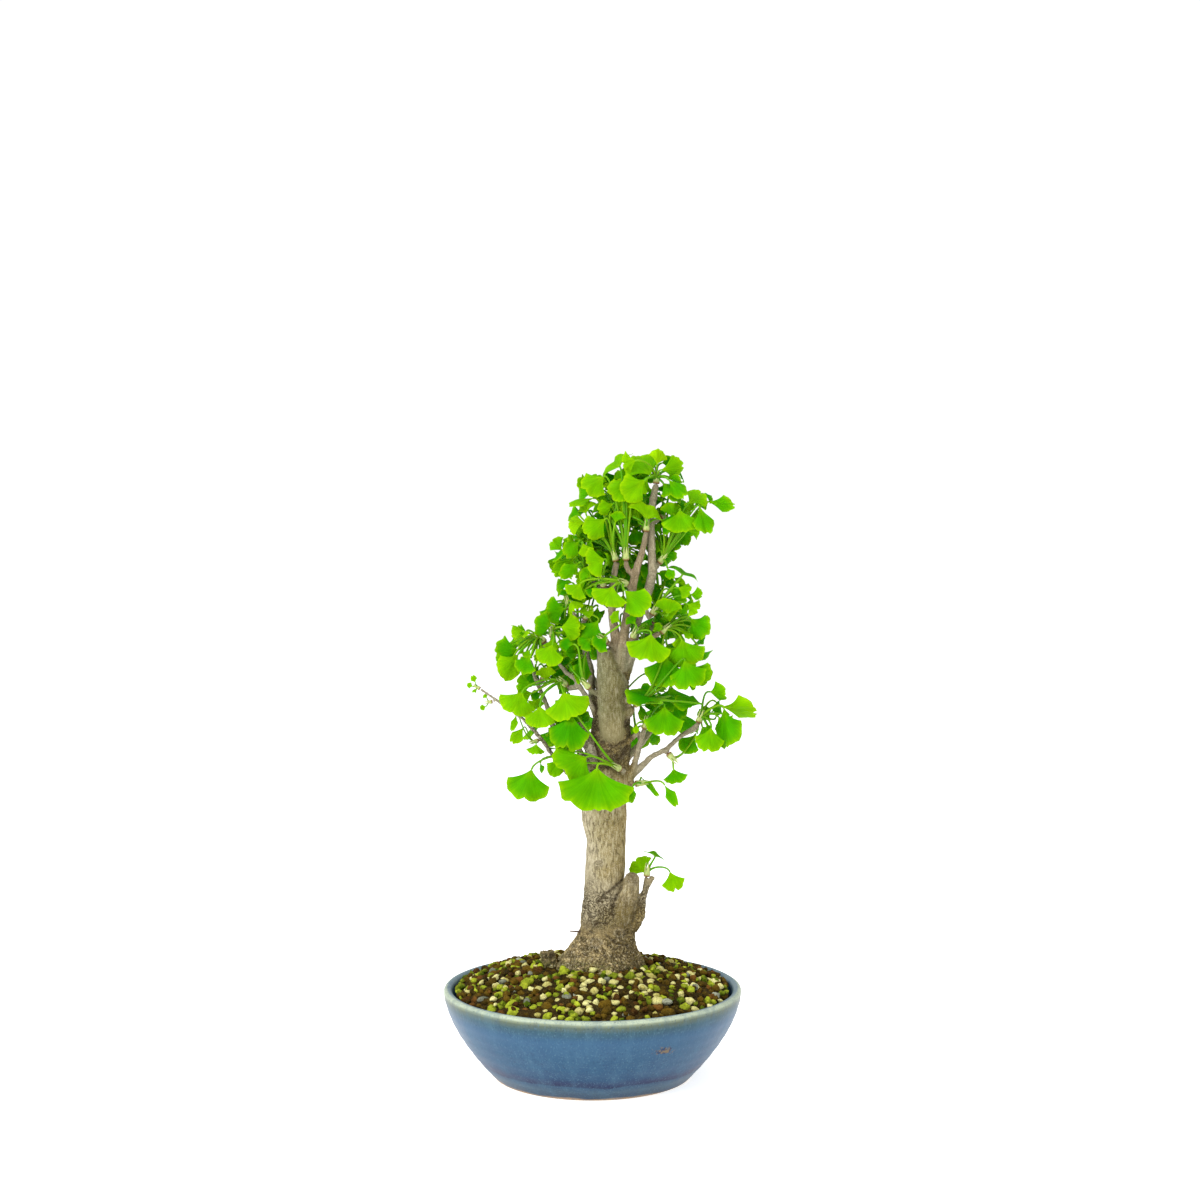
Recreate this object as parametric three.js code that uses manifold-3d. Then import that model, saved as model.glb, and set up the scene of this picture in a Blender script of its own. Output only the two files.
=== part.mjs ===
// Ginkgo bonsai in a round glazed pot: the pot, its two drain screens, the soil, the tree's wood and
// its leafy spurs. Millimetres, +Z up. The origin is the centre of the pot's underside, and the front
// of the tree faces -Y.
//
// The tree is laid out as an elevation. A place is written as [across, up, depth]: where it appears on
// the upright plane through the pot's axis, seen from the front eye point, and how far behind that
// plane it lies. `place` pulls it along the line of sight to that depth.
import * as THREE from "three";
import { mergeVertices } from "three/addons/utils/BufferGeometryUtils.js";
import Module from "manifold-3d";

const wasm = await Module();
wasm.setup();

// ---- driving dimensions -------------------------------------------------------------------------

const EYE = new THREE.Vector3(5, -1107, 317.3);
const GAP = 0.35; // clearance between pieces that touch

const RIM_RADIUS = 100;
const POT_HEIGHT = 58.3;
const LIP_RADIUS = 3; // half the thickness of the wall at the rounded lip
const FOOT_RADIUS = 66.3;
const FOOT_BEVEL = 1.3;
const FLOOR_TOP = 7;
const INNER_FLOOR_RADIUS = 60;
const POT_SIDES = 36;
const OUTER_STEPS = 5; // stretches in the outer wall's curve
const WALL_STEPS = 3; // stretches in the inner wall's curve, the same for the pot and the soil in it
const DRAIN_X = 32; // the two drain holes lie left and right of the middle
const DRAIN_RADIUS = 8;
const CHANNEL_WIDTH = 12;
const CHANNEL_DEPTH = 2.5;
const DRAIN_SIDES = 16;

const SCREEN_RADIUS = 13;
const SCREEN_THICKNESS = 1.2;
const SCREEN_MESH = 6; // from the middle of the screen to its outer openings
const SCREEN_OPENING = 3.6;
const SCREEN_SIDES = 14;

const SOIL_CROWN = 73.5; // height of the mound at the tree
const GRAIN_PITCH = 7.3; // the mix's grains, drawn a little larger than life
const GRAIN_RELIEF = 4.2;
const GRAIN_SCATTER = 0.5; // how far a grain may stray along its ring, as a share of the pitch

const LEAST_CLEARANCE = 0.8 * GAP; // between leaves of different tufts, and to the wood and the soil
const BLADE_THICKNESS = 0.8;
const BLADE_PROPORTION = 0.62; // least length of a fan blade over its width
const LEAST_LEAN = 1.05; // every blade is at least this much longer than it looks in the elevation
const TURNED_FROM = 9; // blades drawn with a roll from this to the next are turned by chance instead
const TURNED_TO = 30;
const LEAST_TURN = 8;
const TURN_RANGE = 26;
const CUP = 0.1; // a blade's side edges hang this share of its width below its middle,
const CUP_RANGE = 0.14; // and up to this much more
const DROOP_RANGE = 0.16; // its margin droops or rises within this share of its width,
const DROOP_RISE = 0.25; // a quarter of it upwards
const RIPPLE = 0.05;
const RIPPLE_TURN = 3; // radians of ripple from a blade's middle to its edge, up to twice as many
const RIPPLE_START = 6;
const PETIOLE_WIDTH = 1.15;
const LONG_PETIOLE = 24; // a petiole longer than this bends in three stretches instead of two
const PETIOLE_RISE = 0.4; // share of its reach for which a petiole rises with its bud,
const LEAST_RISE = 2.5;
const MOST_RISE = 14;
const PETIOLE_RUN_IN = 0.3; // and share of it for which it runs in line with its blade
const MOST_RUN_IN = 6;
const SHOOT_BEND = 0.35; // a shoot runs square to its bud for this share of its length
const SHOOT_RADII = [2.3, 2, 1.8];
const SHOOT_CORNERS = 4;
const BUD_LENGTH = 4.6;
const BUD_RADIUS = 1.9;
const BUD_TAPER = 0.6;
const BUD_CORNERS = 5;
const HEART = 0.45; // petioles start at this share of the bud's length,
const ROOT_SPREAD = 0.3; // this share of its radius off its axis, towards their own blade,
const ROOT_CLIMB = 0.4; // and up or down within this share of its length
// Steps back and forward that are tried in turn until a leaf hangs free.
const DEPTH_STEPS = [0, 3, -3, 6, -6, 9, -9, 12, -12, 15, -15, 18, -18, 21];

const BUTTRESSES = 5;
const BUTTRESS_SWELL = 0.1;
const FLARE_FOOT = 72; // the root flare runs from here
const FLARE_TOP = 96; // up to here
const BARK_ROUGHNESS = 0.03;
const BARK_SMOOTHING = 0.7; // how far the joined wood's surface may move where small faces merge
const THICK_LIMB = 4.3; // limbs that reach this radius have more corners
const THICK_CORNERS = 7;
const THIN_CORNERS = 5;
const ROOT_STOCK_ROWS = 10; // rows of the trunk's outline that the soil is cut round

const GLAZE = { color: 0x5a7d96, roughness: 0.35 };
const SCREEN_PLASTIC = { color: 0x2b2d2b, roughness: 0.7 };
const GRIT = { color: 0x5b4a2c, roughness: 0.95 };
const BARK = { color: 0x9a8a68, roughness: 0.9 };
const LEAF = { color: 0x6ab80c, roughness: 0.5 };

// ---- small tools --------------------------------------------------------------------------------

function place(across, up, depth) {
  const reach = (depth - EYE.y) / -EYE.y;
  return new THREE.Vector3(
    EYE.x + (across - EYE.x) * reach,
    depth,
    EYE.z + (up - EYE.z) * reach,
  );
}

// A repeatable number from 0 to 1 for each number given.
function chance(index) {
  const wave = Math.sin(index * 12.9898) * 43758.5453;
  return wave - Math.floor(wave);
}

function solidOfArrays(points, faces) {
  const flat = (list) => {
    const positions = new Float32Array(points.length * 3);
    points.forEach((point, i) => point.toArray(positions, i * 3));
    return new wasm.Manifold(
      new wasm.Mesh({ numProp: 3, vertProperties: positions, triVerts: new Uint32Array(list.flat()) }),
    );
  };
  const made = flat(faces);
  return made.volume() > 0 ? made : flat(faces.map(([a, b, c]) => [a, c, b]));
}

function solidOfGeometry(geometry) {
  const bare = geometry.clone();
  bare.deleteAttribute("normal");
  bare.deleteAttribute("uv");
  const merged = mergeVertices(bare, 1e-4);
  const points = [];
  for (let i = 0; i < merged.attributes.position.count; i++) {
    points.push(new THREE.Vector3().fromBufferAttribute(merged.attributes.position, i));
  }
  const faces = [];
  for (let i = 0; i < merged.index.count; i += 3) {
    const face = [0, 1, 2].map((k) => merged.index.getX(i + k));
    if (new Set(face).size === 3) faces.push(face);
  }
  return solidOfArrays(points, faces);
}

function meshOf(name, solid, finish) {
  const made = solid.getMesh();
  const positions = new Float32Array(made.numVert * 3);
  for (let i = 0; i < made.numVert; i++) {
    positions.set(made.vertProperties.subarray(i * made.numProp, i * made.numProp + 3), i * 3);
  }
  const geometry = new THREE.BufferGeometry();
  geometry.setAttribute("position", new THREE.BufferAttribute(positions, 3));
  geometry.setIndex(new THREE.BufferAttribute(made.triVerts, 1));
  geometry.computeVertexNormals();
  const mesh = new THREE.Mesh(geometry, new THREE.MeshStandardMaterial({ ...finish, metalness: 0 }));
  mesh.name = name;
  return mesh;
}

// Skins rings that hold the same number of points, and closes both ends with a fan.
function loft(rings) {
  const count = rings[0].length;
  const points = rings.flat();
  const faces = [];
  for (let r = 0; r + 1 < rings.length; r++) {
    for (let k = 0; k < count; k++) {
      const next = (k + 1) % count;
      const [a, b] = [r * count + k, r * count + next];
      const [c, d] = [a + count, b + count];
      faces.push([a, b, d], [a, d, c]);
    }
  }
  const last = (rings.length - 1) * count;
  for (let k = 1; k + 1 < count; k++) {
    faces.push([0, k + 1, k], [last, last + k, last + k + 1]);
  }
  return solidOfArrays(points, faces);
}

// Directions along a line of points, and a side direction carried along it from the last point without
// twist.
function carriedSides(points, lastSide) {
  const tangents = points.map((point, i) => {
    const ahead = points[Math.min(i + 1, points.length - 1)];
    const behind = points[Math.max(i - 1, 0)];
    return ahead.clone().sub(behind).normalize();
  });
  const sides = new Array(points.length);
  for (let i = points.length - 1; i >= 0; i--) {
    const from = i === points.length - 1 ? lastSide : sides[i + 1];
    sides[i] = from.clone().addScaledVector(tangents[i], -from.dot(tangents[i])).normalize();
  }
  return { tangents, sides };
}

// A round limb through stations of [point, radius].
function limb(stations, corners) {
  const points = stations.map(([point]) => point);
  const lean = points[points.length - 1].clone().sub(points[0]);
  const start = Math.abs(lean.x) < Math.abs(lean.z) ? new THREE.Vector3(1, 0, 0) : new THREE.Vector3(0, 1, 0);
  const { tangents, sides } = carriedSides(points, start);
  return loft(
    stations.map(([point, radius], i) => {
      const up = tangents[i].clone().cross(sides[i]);
      return Array.from({ length: corners }, (_, k) => {
        const angle = (k / corners) * 2 * Math.PI;
        return point
          .clone()
          .addScaledVector(sides[i], radius * Math.cos(angle))
          .addScaledVector(up, radius * Math.sin(angle));
      });
    }),
  );
}

// ---- the pot ------------------------------------------------------------------------------------

function wallCurve(radii, heights) {
  const corner = (i) => new THREE.Vector2(radii[i], heights[i]);
  return new THREE.CubicBezierCurve(corner(0), corner(1), corner(2), corner(3));
}

const LIP_HEIGHT = POT_HEIGHT - LIP_RADIUS;

function outerWall() {
  return wallCurve([FOOT_RADIUS + FOOT_BEVEL, 82.5, 97, RIM_RADIUS], [FOOT_BEVEL, 16.5, 36, LIP_HEIGHT]);
}

// The inside of the wall, or a skin held off it by `inset`.
function innerWall(inset) {
  const mouth = RIM_RADIUS - 2 * LIP_RADIUS;
  return wallCurve(
    [mouth - inset, 91 - inset, 76 - inset, INNER_FLOOR_RADIUS - inset],
    [LIP_HEIGHT, 36, 16 + inset, FLOOR_TOP + inset],
  );
}

function drainCutter(side) {
  const hole = new THREE.CylinderGeometry(DRAIN_RADIUS, DRAIN_RADIUS, 4 * FLOOR_TOP, DRAIN_SIDES);
  hole.rotateX(Math.PI / 2);
  hole.translate(side * DRAIN_X, 0, 0);
  const length = FOOT_RADIUS + 3 * FOOT_BEVEL - DRAIN_X;
  const channel = new THREE.BoxGeometry(length, CHANNEL_WIDTH, 2 * CHANNEL_DEPTH);
  channel.translate(side * (DRAIN_X + length / 2), 0, 0);
  return solidOfGeometry(hole).add(solidOfGeometry(channel));
}

function makePot() {
  const lip = [1, 2, 3].map((step) => {
    const angle = (step / 4) * Math.PI;
    return new THREE.Vector2(
      RIM_RADIUS - LIP_RADIUS + LIP_RADIUS * Math.cos(angle),
      LIP_HEIGHT + LIP_RADIUS * Math.sin(angle),
    );
  });
  const profile = [
    new THREE.Vector2(0, 0),
    new THREE.Vector2(FOOT_RADIUS, 0),
    ...outerWall().getPoints(OUTER_STEPS),
    ...lip,
    ...innerWall(0).getPoints(WALL_STEPS),
    new THREE.Vector2(0, FLOOR_TOP),
  ];
  const upright = new THREE.LatheGeometry(profile, POT_SIDES);
  upright.rotateX(Math.PI / 2);
  return solidOfGeometry(upright).subtract(drainCutter(-1)).subtract(drainCutter(1));
}

// A drain screen, or with `grow` above zero the plain disc of room that it needs in the soil.
function makeScreen(side, grow) {
  const radius = SCREEN_RADIUS + grow;
  const disc = new THREE.CylinderGeometry(radius, radius, SCREEN_THICKNESS + 2 * grow, SCREEN_SIDES);
  disc.rotateX(Math.PI / 2);
  const middle = FLOOR_TOP + GAP + SCREEN_THICKNESS / 2;
  disc.translate(side * DRAIN_X, 0, middle);
  let screen = solidOfGeometry(disc);
  if (grow > 0) {
    return screen;
  }
  for (const [column, row] of [[0, 0], [-1, 0], [1, 0], [0, -1], [0, 1]]) {
    const opening = new THREE.BoxGeometry(SCREEN_OPENING, SCREEN_OPENING, 4 * SCREEN_THICKNESS);
    opening.translate(side * DRAIN_X + column * SCREEN_MESH, row * SCREEN_MESH, middle);
    screen = screen.subtract(solidOfGeometry(opening));
  }
  return screen;
}

// ---- the tree's wood ----------------------------------------------------------------------------

// The trunk's outline: [height, left, right, front, back]. The lowest rows are the buried root stock.
const TRUNK_CORNERS = 14;
const TRUNK = [
  [24, -8, 22, -14, 13],
  [56, -22, 31, -25, 21],
  [72, -26, 33.5, -28, 24],
  [77, -21.5, 31.5, -23, 21],
  [82, -17, 29, -19, 18],
  [89, -12.2, 27.8, -16, 15.5],
  [96, -8.2, 28.4, -15.2, 15],
  [109, -6.8, 26.6, -14.5, 14.5],
  [118, -6.2, 23.6, -14, 14],
  [127, -5.4, 21.2, -13.4, 13.6],
  [138, -4.5, 21.8, -13, 13.2],
  [154, -3.6, 22.4, -13, 13],
  [163, -5.8, 22.4, -13.4, 13.4],
  [170, -7.3, 22.3, -13.8, 13.8],
  [184, -6.5, 22.8, -13.8, 13.8],
  [193, -4.6, 26, -13.2, 13.6],
  [201, -2.4, 26.2, -12.8, 13.2],
  [208, -1.7, 24.4, -12, 12.8],
  [217, -3.2, 25.8, -12, 12.6],
  [224, -1, 25.7, -11, 12.4],
  [252, 1.6, 24.8, -8.8, 11.8],
  [276, 4.4, 22.8, -6.5, 9.5],
];

// The healed column that stands in front of the upper trunk, cut flat at its top.
const HEALED_COLUMN = [
  [220.5, 9, 18, -12.6, -4],
  [226, 5.2, 21.6, -14.6, 0],
  [236, 3.4, 23, -15, 2],
  [262, 2.8, 23.4, -14.2, 3],
  [284.4, 3, 13.4, -12.6, 1],
];

// Swells the root flare into a few buttresses and roughens the bark a little.
function barkSwell(height, angle, row) {
  const flare = THREE.MathUtils.clamp((FLARE_TOP - height) / (FLARE_TOP - FLARE_FOOT), 0, 1);
  const buried = THREE.MathUtils.clamp(height / FLARE_FOOT, 0, 1) ** 2;
  const buttress = BUTTRESS_SWELL * flare * buried * Math.cos(BUTTRESSES * angle);
  const roughness = BARK_ROUGHNESS * (chance(row * TRUNK_CORNERS + Math.round(angle * TRUNK_CORNERS)) - 0.5);
  return 1 + buttress + roughness;
}

function column(rows, grow, swell) {
  return loft(
    rows.map(([height, left, right, front, back], row) =>
      Array.from({ length: TRUNK_CORNERS }, (_, k) => {
        const angle = (k / TRUNK_CORNERS) * 2 * Math.PI;
        const size = swell(height, angle, row);
        const middle = place((left + right) / 2, height, (front + back) / 2);
        return middle.add(
          new THREE.Vector3(
            (((right - left) / 2) * size + grow) * Math.cos(angle),
            (((back - front) / 2) * size + grow) * Math.sin(angle),
            0,
          ),
        );
      }),
    ),
  );
}

// Limbs as stations of [across, up, depth, radius]; the first station of each is sunk in what it grows
// from.
const LIMBS = {
  rootStump: [[-8, 54, 0, 7], [-22, 60, -4, 6.5], [-29.5, 70, -6, 5.8], [-30.6, 80.5, -7, 5.2]],
  lowStump: [
    [17, 98, -5, 9], [21.5, 111, -7.5, 8], [25, 121, -8.5, 6.7], [26.2, 127, -10, 5.6],
    [26.9, 131, -13, 4.7],
  ],
  lowStub: [
    [22, 91, -4, 5], [28.2, 98.5, -6, 4.4], [31.8, 104.5, -7, 3.7], [33, 112, -7, 2.9],
    [34.5, 119, -7, 2.4], [36.4, 123.5, -7, 2], [40.7, 131, -7, 1.7],
  ],
  lowFork: [[35, 120.5, -7, 1.6], [35.4, 126, -7, 1.5], [36.2, 130.6, -7, 1.4]],
  hairTwig: [[-6, 93.4, -2, 0.8], [-15.3, 94.2, -4, 0.5]],
  leader: [
    [14.5, 270, -2, 5], [15.8, 283, -2, 3.9], [15.4, 292, -2, 3.5], [13.8, 304, -2, 3],
    [12.6, 314, -1, 2.8], [13.2, 326, -1, 2.5], [15.4, 337, -1.5, 2.3], [16, 342.6, -2, 2.1],
  ],
  stemA: [
    [18.5, 270, -5, 5], [20.2, 284, -6, 3.9], [21.4, 297, -6, 3.4], [23.9, 309, -6, 3.2],
    [26.6, 324, -6, 3], [29.3, 337.5, -5, 2.7], [32, 345, -5, 2.3], [34.6, 354.5, -4.5, 1.9],
    [36, 363.1, -4, 1.7],
  ],
  stemB: [
    [19, 264, 2, 6], [24.2, 279, 2, 4.8], [28, 290.5, 2, 3.1], [31, 304, 2, 2.5], [35.4, 317.5, 1, 3],
    [38.3, 325.5, 1, 3.2], [40.4, 335.5, 0, 3.1], [39.6, 352, 0, 2.8], [39, 372, 0, 2.6],
    [40.6, 385, 0, 2.4], [42.7, 395.1, 0, 2],
  ],
  stemC: [[28, 333, -5, 2.3], [24.4, 337, -5.4, 2], [22.8, 340, -5.8, 1.9], [22.5, 343.6, -6, 1.8]],
  branchRightHigh: [
    [19, 268, -2, 4.4], [24, 277, -3, 3.1], [32.5, 287.5, -3, 2.2], [39, 292, -3, 1.9],
    [45.4, 295.1, -3, 1.7],
  ],
  branchLeftHigh: [
    [4, 240, 5, 3.4], [-0.4, 252, 6, 2.9], [-1.2, 270, 6, 2.6], [-5, 283.5, 6, 2.3], [-7.8, 297, 6, 2],
    [-12, 306, 6, 1.8], [-15.3, 311.1, 6, 1.6],
  ],
  branchLeft: [
    [9, 228, -4, 3.2], [-1.7, 247.9, -6, 2], [-7.1, 256.6, -6, 1.8], [-11.8, 264, -5, 1.7],
    [-17.9, 268.5, -4, 1.6], [-23.3, 275.5, -2, 1.5], [-32.7, 285.4, 1, 1.4], [-39.4, 290.4, 2, 1.3],
  ],
  roughStub: [[9, 199, -6, 5.6], [3, 209, -9, 4.8], [-4, 222, -10.5, 4.4], [-10, 234.3, -11, 3.8]],
  branchLeftBack: [
    [4, 199, 6, 4.2], [-8, 207, 11, 3], [-17.9, 215, 11, 2.4], [-25.3, 226.5, 10, 2.1], [-30, 244, 8, 1.9],
    [-35.4, 256.5, 7, 1.7], [-38.4, 264, 6, 1.6], [-42.1, 277, 6, 1.3],
  ],
  twigLeft: [
    [0, 186.5, 2, 2.8], [-10, 195.5, 3, 1.9], [-21.2, 204.1, 3, 1.6], [-28, 214.2, 2, 1.5],
    [-34.7, 224.3, 1, 1.5], [-46.8, 237.1, 0, 1.2], [-61, 247.2, 0, 1], [-75.3, 257.1, 0, 0.85],
  ],
  twigSide: [[-64.6, 250, 0, 0.9], [-66.9, 248.9, 0, 0.8]],
  branchRight: [
    [18, 195, -2, 5.4], [27, 201, -3, 3.5], [33, 205, -3, 2.3], [39.2, 211.4, -3, 1.9],
    [45.5, 214.9, -3, 1.7], [49.7, 216.6, -3, 1.7], [59, 225.4, -3, 1.5], [65.6, 229, -3, 1.6],
    [67.2, 229.9, -3, 2.2], [70.3, 231.7, -3, 2.1],
  ],
  cutTwig: [[24, 196, -5, 3.6], [28.3, 207, -5, 2.3], [31.5, 219, -4, 2], [34.8, 230, -4, 1.8]],
  darkSpur: [[22, 221, -4, 3], [28.5, 226, -4, 2.1], [31.4, 228.4, -4, 1.8]],
  greyKnob: [[19, 247.5, -5, 4.4], [24.5, 249.5, -9, 3.2], [27.6, 250.6, -10, 2.2]],
  darkKnot: [[19, 239.5, -5, 5], [24.6, 241.6, -9, 3.4], [27.2, 244.6, -11, 2.1]],
  backLow: [[6, 196, 8, 5], [0, 206, 20, 3], [-8, 214, 31, 2.3], [-14, 226, 40, 1.8]],
  backRight: [[16, 200, 8, 4.6], [24, 212, 22, 2.8], [34, 222, 32, 2.2], [44, 236, 38, 1.7]],
  backMiddle: [[12, 236, 8, 4.6], [9, 250, 20, 2.8], [2, 262, 30, 2.2], [-6, 274, 38, 1.7]],
  backHigh: [[16, 262, 6, 4.4], [24, 276, 17, 2.7], [32, 288, 27, 2.1], [41, 300, 34, 1.7]],
  backLeader: [[14, 312, 0, 2.5], [9, 322, 11, 2.1], [4, 334, 22, 1.9], [0, 346, 28, 1.6]],
  backCrown: [[39.4, 352, 1, 2.5], [36, 362, 11, 2], [31, 372, 18, 1.8], [27, 382, 22, 1.6]],
};

function limbOf(stations, grow) {
  const thickest = Math.max(...stations.map((station) => station[3]));
  return limb(
    stations.map(([across, up, depth, radius]) => [place(across, up, depth), radius + grow]),
    thickest > THICK_LIMB ? THICK_CORNERS : THIN_CORNERS,
  );
}

// ---- the leafy spurs ----------------------------------------------------------------------------

// Each tuft grows from one spur shoot. `at` is the shoot's tip, `rise` the way the bud points and
// `from` the place in the wood where the shoot starts. A leaf is [base across, base up, tip across,
// tip up, width, depth, roll]: the joint of petiole and blade, the middle of the blade's margin, the
// width that shows, the depth of the joint and the turn of the blade about its midline in degrees, left
// to chance from TURNED_FROM to TURNED_TO. A blade whose tip is nearer its joint than its length leans
// out of the elevation: towards the front where it hangs, and back where it stands.
const TUFTS = [
  {
    name: "leaves_top", at: [42.8, 395.5, 0], rise: [0.1, 0, 1],
    leaves: [
      [43.5, 408.3, 45.5, 419, 13, 0, 15], [46.5, 409.5, 54, 411.8, 9, 9, 30],
      [46.2, 405, 61.8, 407.8, 15, -5, 10], [50, 399.5, 60.3, 396.8, 13, -3, 72],
      [51, 398.5, 62, 386.8, 13, -11, 25], [35.5, 398, 21.5, 386.8, 20, -14, 20],
      [39.5, 401, 29, 414.8, 24, -3, 10], [38, 404, 30, 402, 15, 9, 0],
    ],
  },
  {
    name: "leaves_leader", at: [36, 363.5, -4], rise: [0.1, -0.2, 1],
    leaves: [
      [36.5, 371.5, 37, 383.2, 23, -12, 10], [46, 371.5, 55, 366, 15, 3, 10], [29, 372, 22, 380, 13, 4, 10],
    ],
  },
  {
    name: "leaves_high_right", at: [44.5, 342, 3], rise: [0.6, 0, 0.8], from: [40, 337, 0],
    leaves: [
      [64.5, 382.3, 74.5, 390.2, 16, -2, 10], [78, 383.5, 94.8, 379.8, 13, 1, 40],
      [53, 381, 63.5, 379.5, 12, 9, 15], [59, 378, 60, 362.6, 26, -12, 0],
      [72, 380.5, 77, 361.8, 15, -6, 20], [50.5, 339, 53, 331.8, 8, -3, 10], [45, 357, 44, 346, 17, 14, 0],
      [55, 362, 51, 351, 14, 9, 10],
    ],
  },
  {
    name: "leaves_high_left", at: [15.9, 343.3, -2], rise: [-0.3, -0.1, 1],
    leaves: [
      [1, 386, -15.8, 381.4, 10, 1, 55], [14, 382.3, 4, 376.8, 11, -1, 25], [8.5, 372, -4, 361, 17, -7, 10],
      [14, 369, 8, 361, 15, 7, 0],
    ],
  },
  {
    name: "leaves_high_middle", at: [22.5, 344.2, -6.2], rise: [0, -0.3, 1],
    leaves: [
      [18.5, 407, 13, 413.6, 26, -5, 0], [8, 400.5, -5, 391.5, 19, -4, 12],
      [19, 401.5, 8.5, 393, 15, 5, 10], [25, 396.5, 12, 386.8, 17, -10, 15], [27, 366, 31, 355, 14, 6, 0],
    ],
  },
  {
    name: "leaves_left_crown", at: [-0.5, 331, 2], rise: [-0.7, -0.1, 0.7], from: [13.2, 324, -1],
    leaves: [
      [-4.5, 364.8, -15, 365.2, 10, 4, 15], [-9.8, 354.6, -20.5, 357.5, 10, 2, 20],
      [-9, 357, -18, 347, 12, -5, 10], [-18.6, 353.4, -26.4, 343.4, 8, 2, 60],
      [-12, 345.5, -26.2, 334, 11, 1, 20], [-9, 342.5, -21.6, 332.6, 11, -8, 25],
    ],
  },
  {
    name: "leaves_left_inner", at: [7.5, 326.5, -5], rise: [-0.3, -0.6, 0.8], from: [12.8, 321, -1],
    leaves: [[8, 344.8, -1.8, 341.2, 21, -15, 0], [4, 336, -3, 328, 12, 4, 10]],
  },
  {
    name: "leaves_middle_front", at: [23, 328, -11.5], rise: [-0.5, -0.8, 0.3], from: [26.6, 324, -6],
    leaves: [
      [14, 326.3, 8, 313.8, 24, -22, 8], [21.5, 324, 36.5, 309.3, 20, -20, 8],
      [-8, 328.6, -14.6, 320, 16, -9, 15], [2, 327, 0, 319, 12, 0, 0],
    ],
  },
  {
    name: "leaves_left_tip", at: [-15.5, 311.5, 6], rise: [-0.3, -0.2, 0.9],
    leaves: [
      [-18.5, 311.5, -31, 308.4, 19, 0, 10], [-10, 309, 0.4, 311.3, 10, -3, 15],
      [-19, 319.5, -20.5, 324.4, 6, 6, 0],
    ],
  },
  {
    name: "leaves_left_end", at: [-32.4, 289, 1], rise: [-0.6, -0.3, 0.7], from: [-30, 283, 0],
    leaves: [
      [-50, 284, -63.5, 279.6, 20, -1, 10], [-50, 281, -60.4, 265, 17, -9, 15],
      [-42, 279.5, -48.4, 268.3, 15, -14, 8], [-38, 288.5, -55.4, 290.4, 14, 6, 25],
      [-46, 291.5, -49.2, 300.3, 6, 10, 30],
    ],
  },
  {
    name: "leaves_left_fork", at: [-27, 292, 2], rise: [0, -0.2, 1], from: [-27, 281, -1],
    leaves: [
      [-27.5, 300.5, -37.8, 299.6, 17, -2, 10], [-21.5, 299, -9.2, 297.7, 18, -5, 8],
      [-27, 287.5, -31.6, 274, 19, -13, 5], [-20.5, 281, -10.6, 283.5, 11, -3, 12],
    ],
  },
  {
    name: "leaves_left_low", at: [-34, 263.5, 5], rise: [0.5, -0.4, 0.6], from: [-38.2, 261, 6],
    leaves: [
      [-31, 262.8, -32, 272.2, 13, -3, 0], [-36, 273.5, -44.6, 260, 12, -2, 15],
      [-18, 273, -27.4, 267.6, 13, 7, 10], [-24, 262, -16.4, 257, 12, 12, 10],
    ],
  },
  {
    name: "leaves_inner_left", at: [-5.4, 304.5, 3], rise: [0.3, -0.4, 0.9], from: [-8, 298, 6],
    leaves: [
      [4, 303.5, -6, 290, 17, -7, 10], [3.5, 313, 2, 301, 9, 4, 15], [-2, 299.5, -9, 293.5, 10, 2, 15],
    ],
  },
  {
    name: "leaves_inner_middle", at: [9.4, 289, -8], rise: [-0.6, -0.6, 0.5], from: [15.4, 284, -3],
    leaves: [
      [18.4, 302.5, 12.3, 307.4, 10, -12, 10], [9.5, 292, 1.3, 286, 13, -13, 10],
      [-1, 291, -8.7, 286.6, 12, 0, 10],
    ],
  },
  {
    name: "leaves_inner_right", at: [27, 292, -8], rise: [0.3, -0.7, 0.8], from: [24.6, 279.5, -3],
    leaves: [[39.5, 294.5, 36, 276.3, 29, -18, 0], [29, 301, 24, 307, 10, -14, 0]],
  },
  {
    name: "leaves_right_high", at: [40, 307.5, -2], rise: [0.5, -0.3, 0.9], from: [34.2, 314, 1],
    leaves: [
      [60.5, 334.3, 62.6, 338.8, 22, -2, 0], [48, 321.5, 40.3, 321.8, 11, 6, 12],
      [51, 324.6, 63.9, 318, 13, 3, 15], [50.5, 307.5, 51.7, 318.3, 19, -9, 0],
      [64, 314.5, 71.1, 310.4, 13, -4, 15],
    ],
  },
  {
    name: "leaves_right_middle", at: [45.7, 295.4, -3], rise: [0.7, -0.1, 0.6],
    leaves: [
      [66, 305, 76.6, 293.4, 18, 1, 12], [45.5, 302, 62.1, 297.6, 14, 8, 12],
      [60, 290.5, 64.1, 274, 27, -7, 5], [41, 297, 46.6, 300.6, 7, -7, 10],
      [66, 272.8, 77.2, 262, 17, 0, 15],
    ],
  },
  {
    name: "leaves_left_middle", at: [-17.6, 259.6, -1], rise: [-0.6, -0.5, 0.6], from: [-9.4, 259, -6],
    leaves: [
      [-47.5, 255.5, -54, 241, 25, -9, 5], [-35.5, 246, -35, 232.3, 21, -15, 0],
      [-20, 255.5, -14, 238.4, 29, -17, 0], [-34.5, 254, -41, 252.4, 9, 1, 15],
      [-13, 267, -22, 259.5, 15, 4, 12],
    ],
  },
  {
    name: "leaves_trunk_left", at: [-2.4, 258, -12], rise: [-0.6, -0.5, 0.7], from: [6, 253, -8],
    leaves: [[-4.5, 281, -8.4, 261, 13, -3, 20], [-12.5, 287.5, -23, 287.8, 10, 3, 15]],
  },
  {
    name: "leaves_trunk_right", at: [28.4, 246.6, -12.4], rise: [0.8, -0.4, 0.4],
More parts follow.
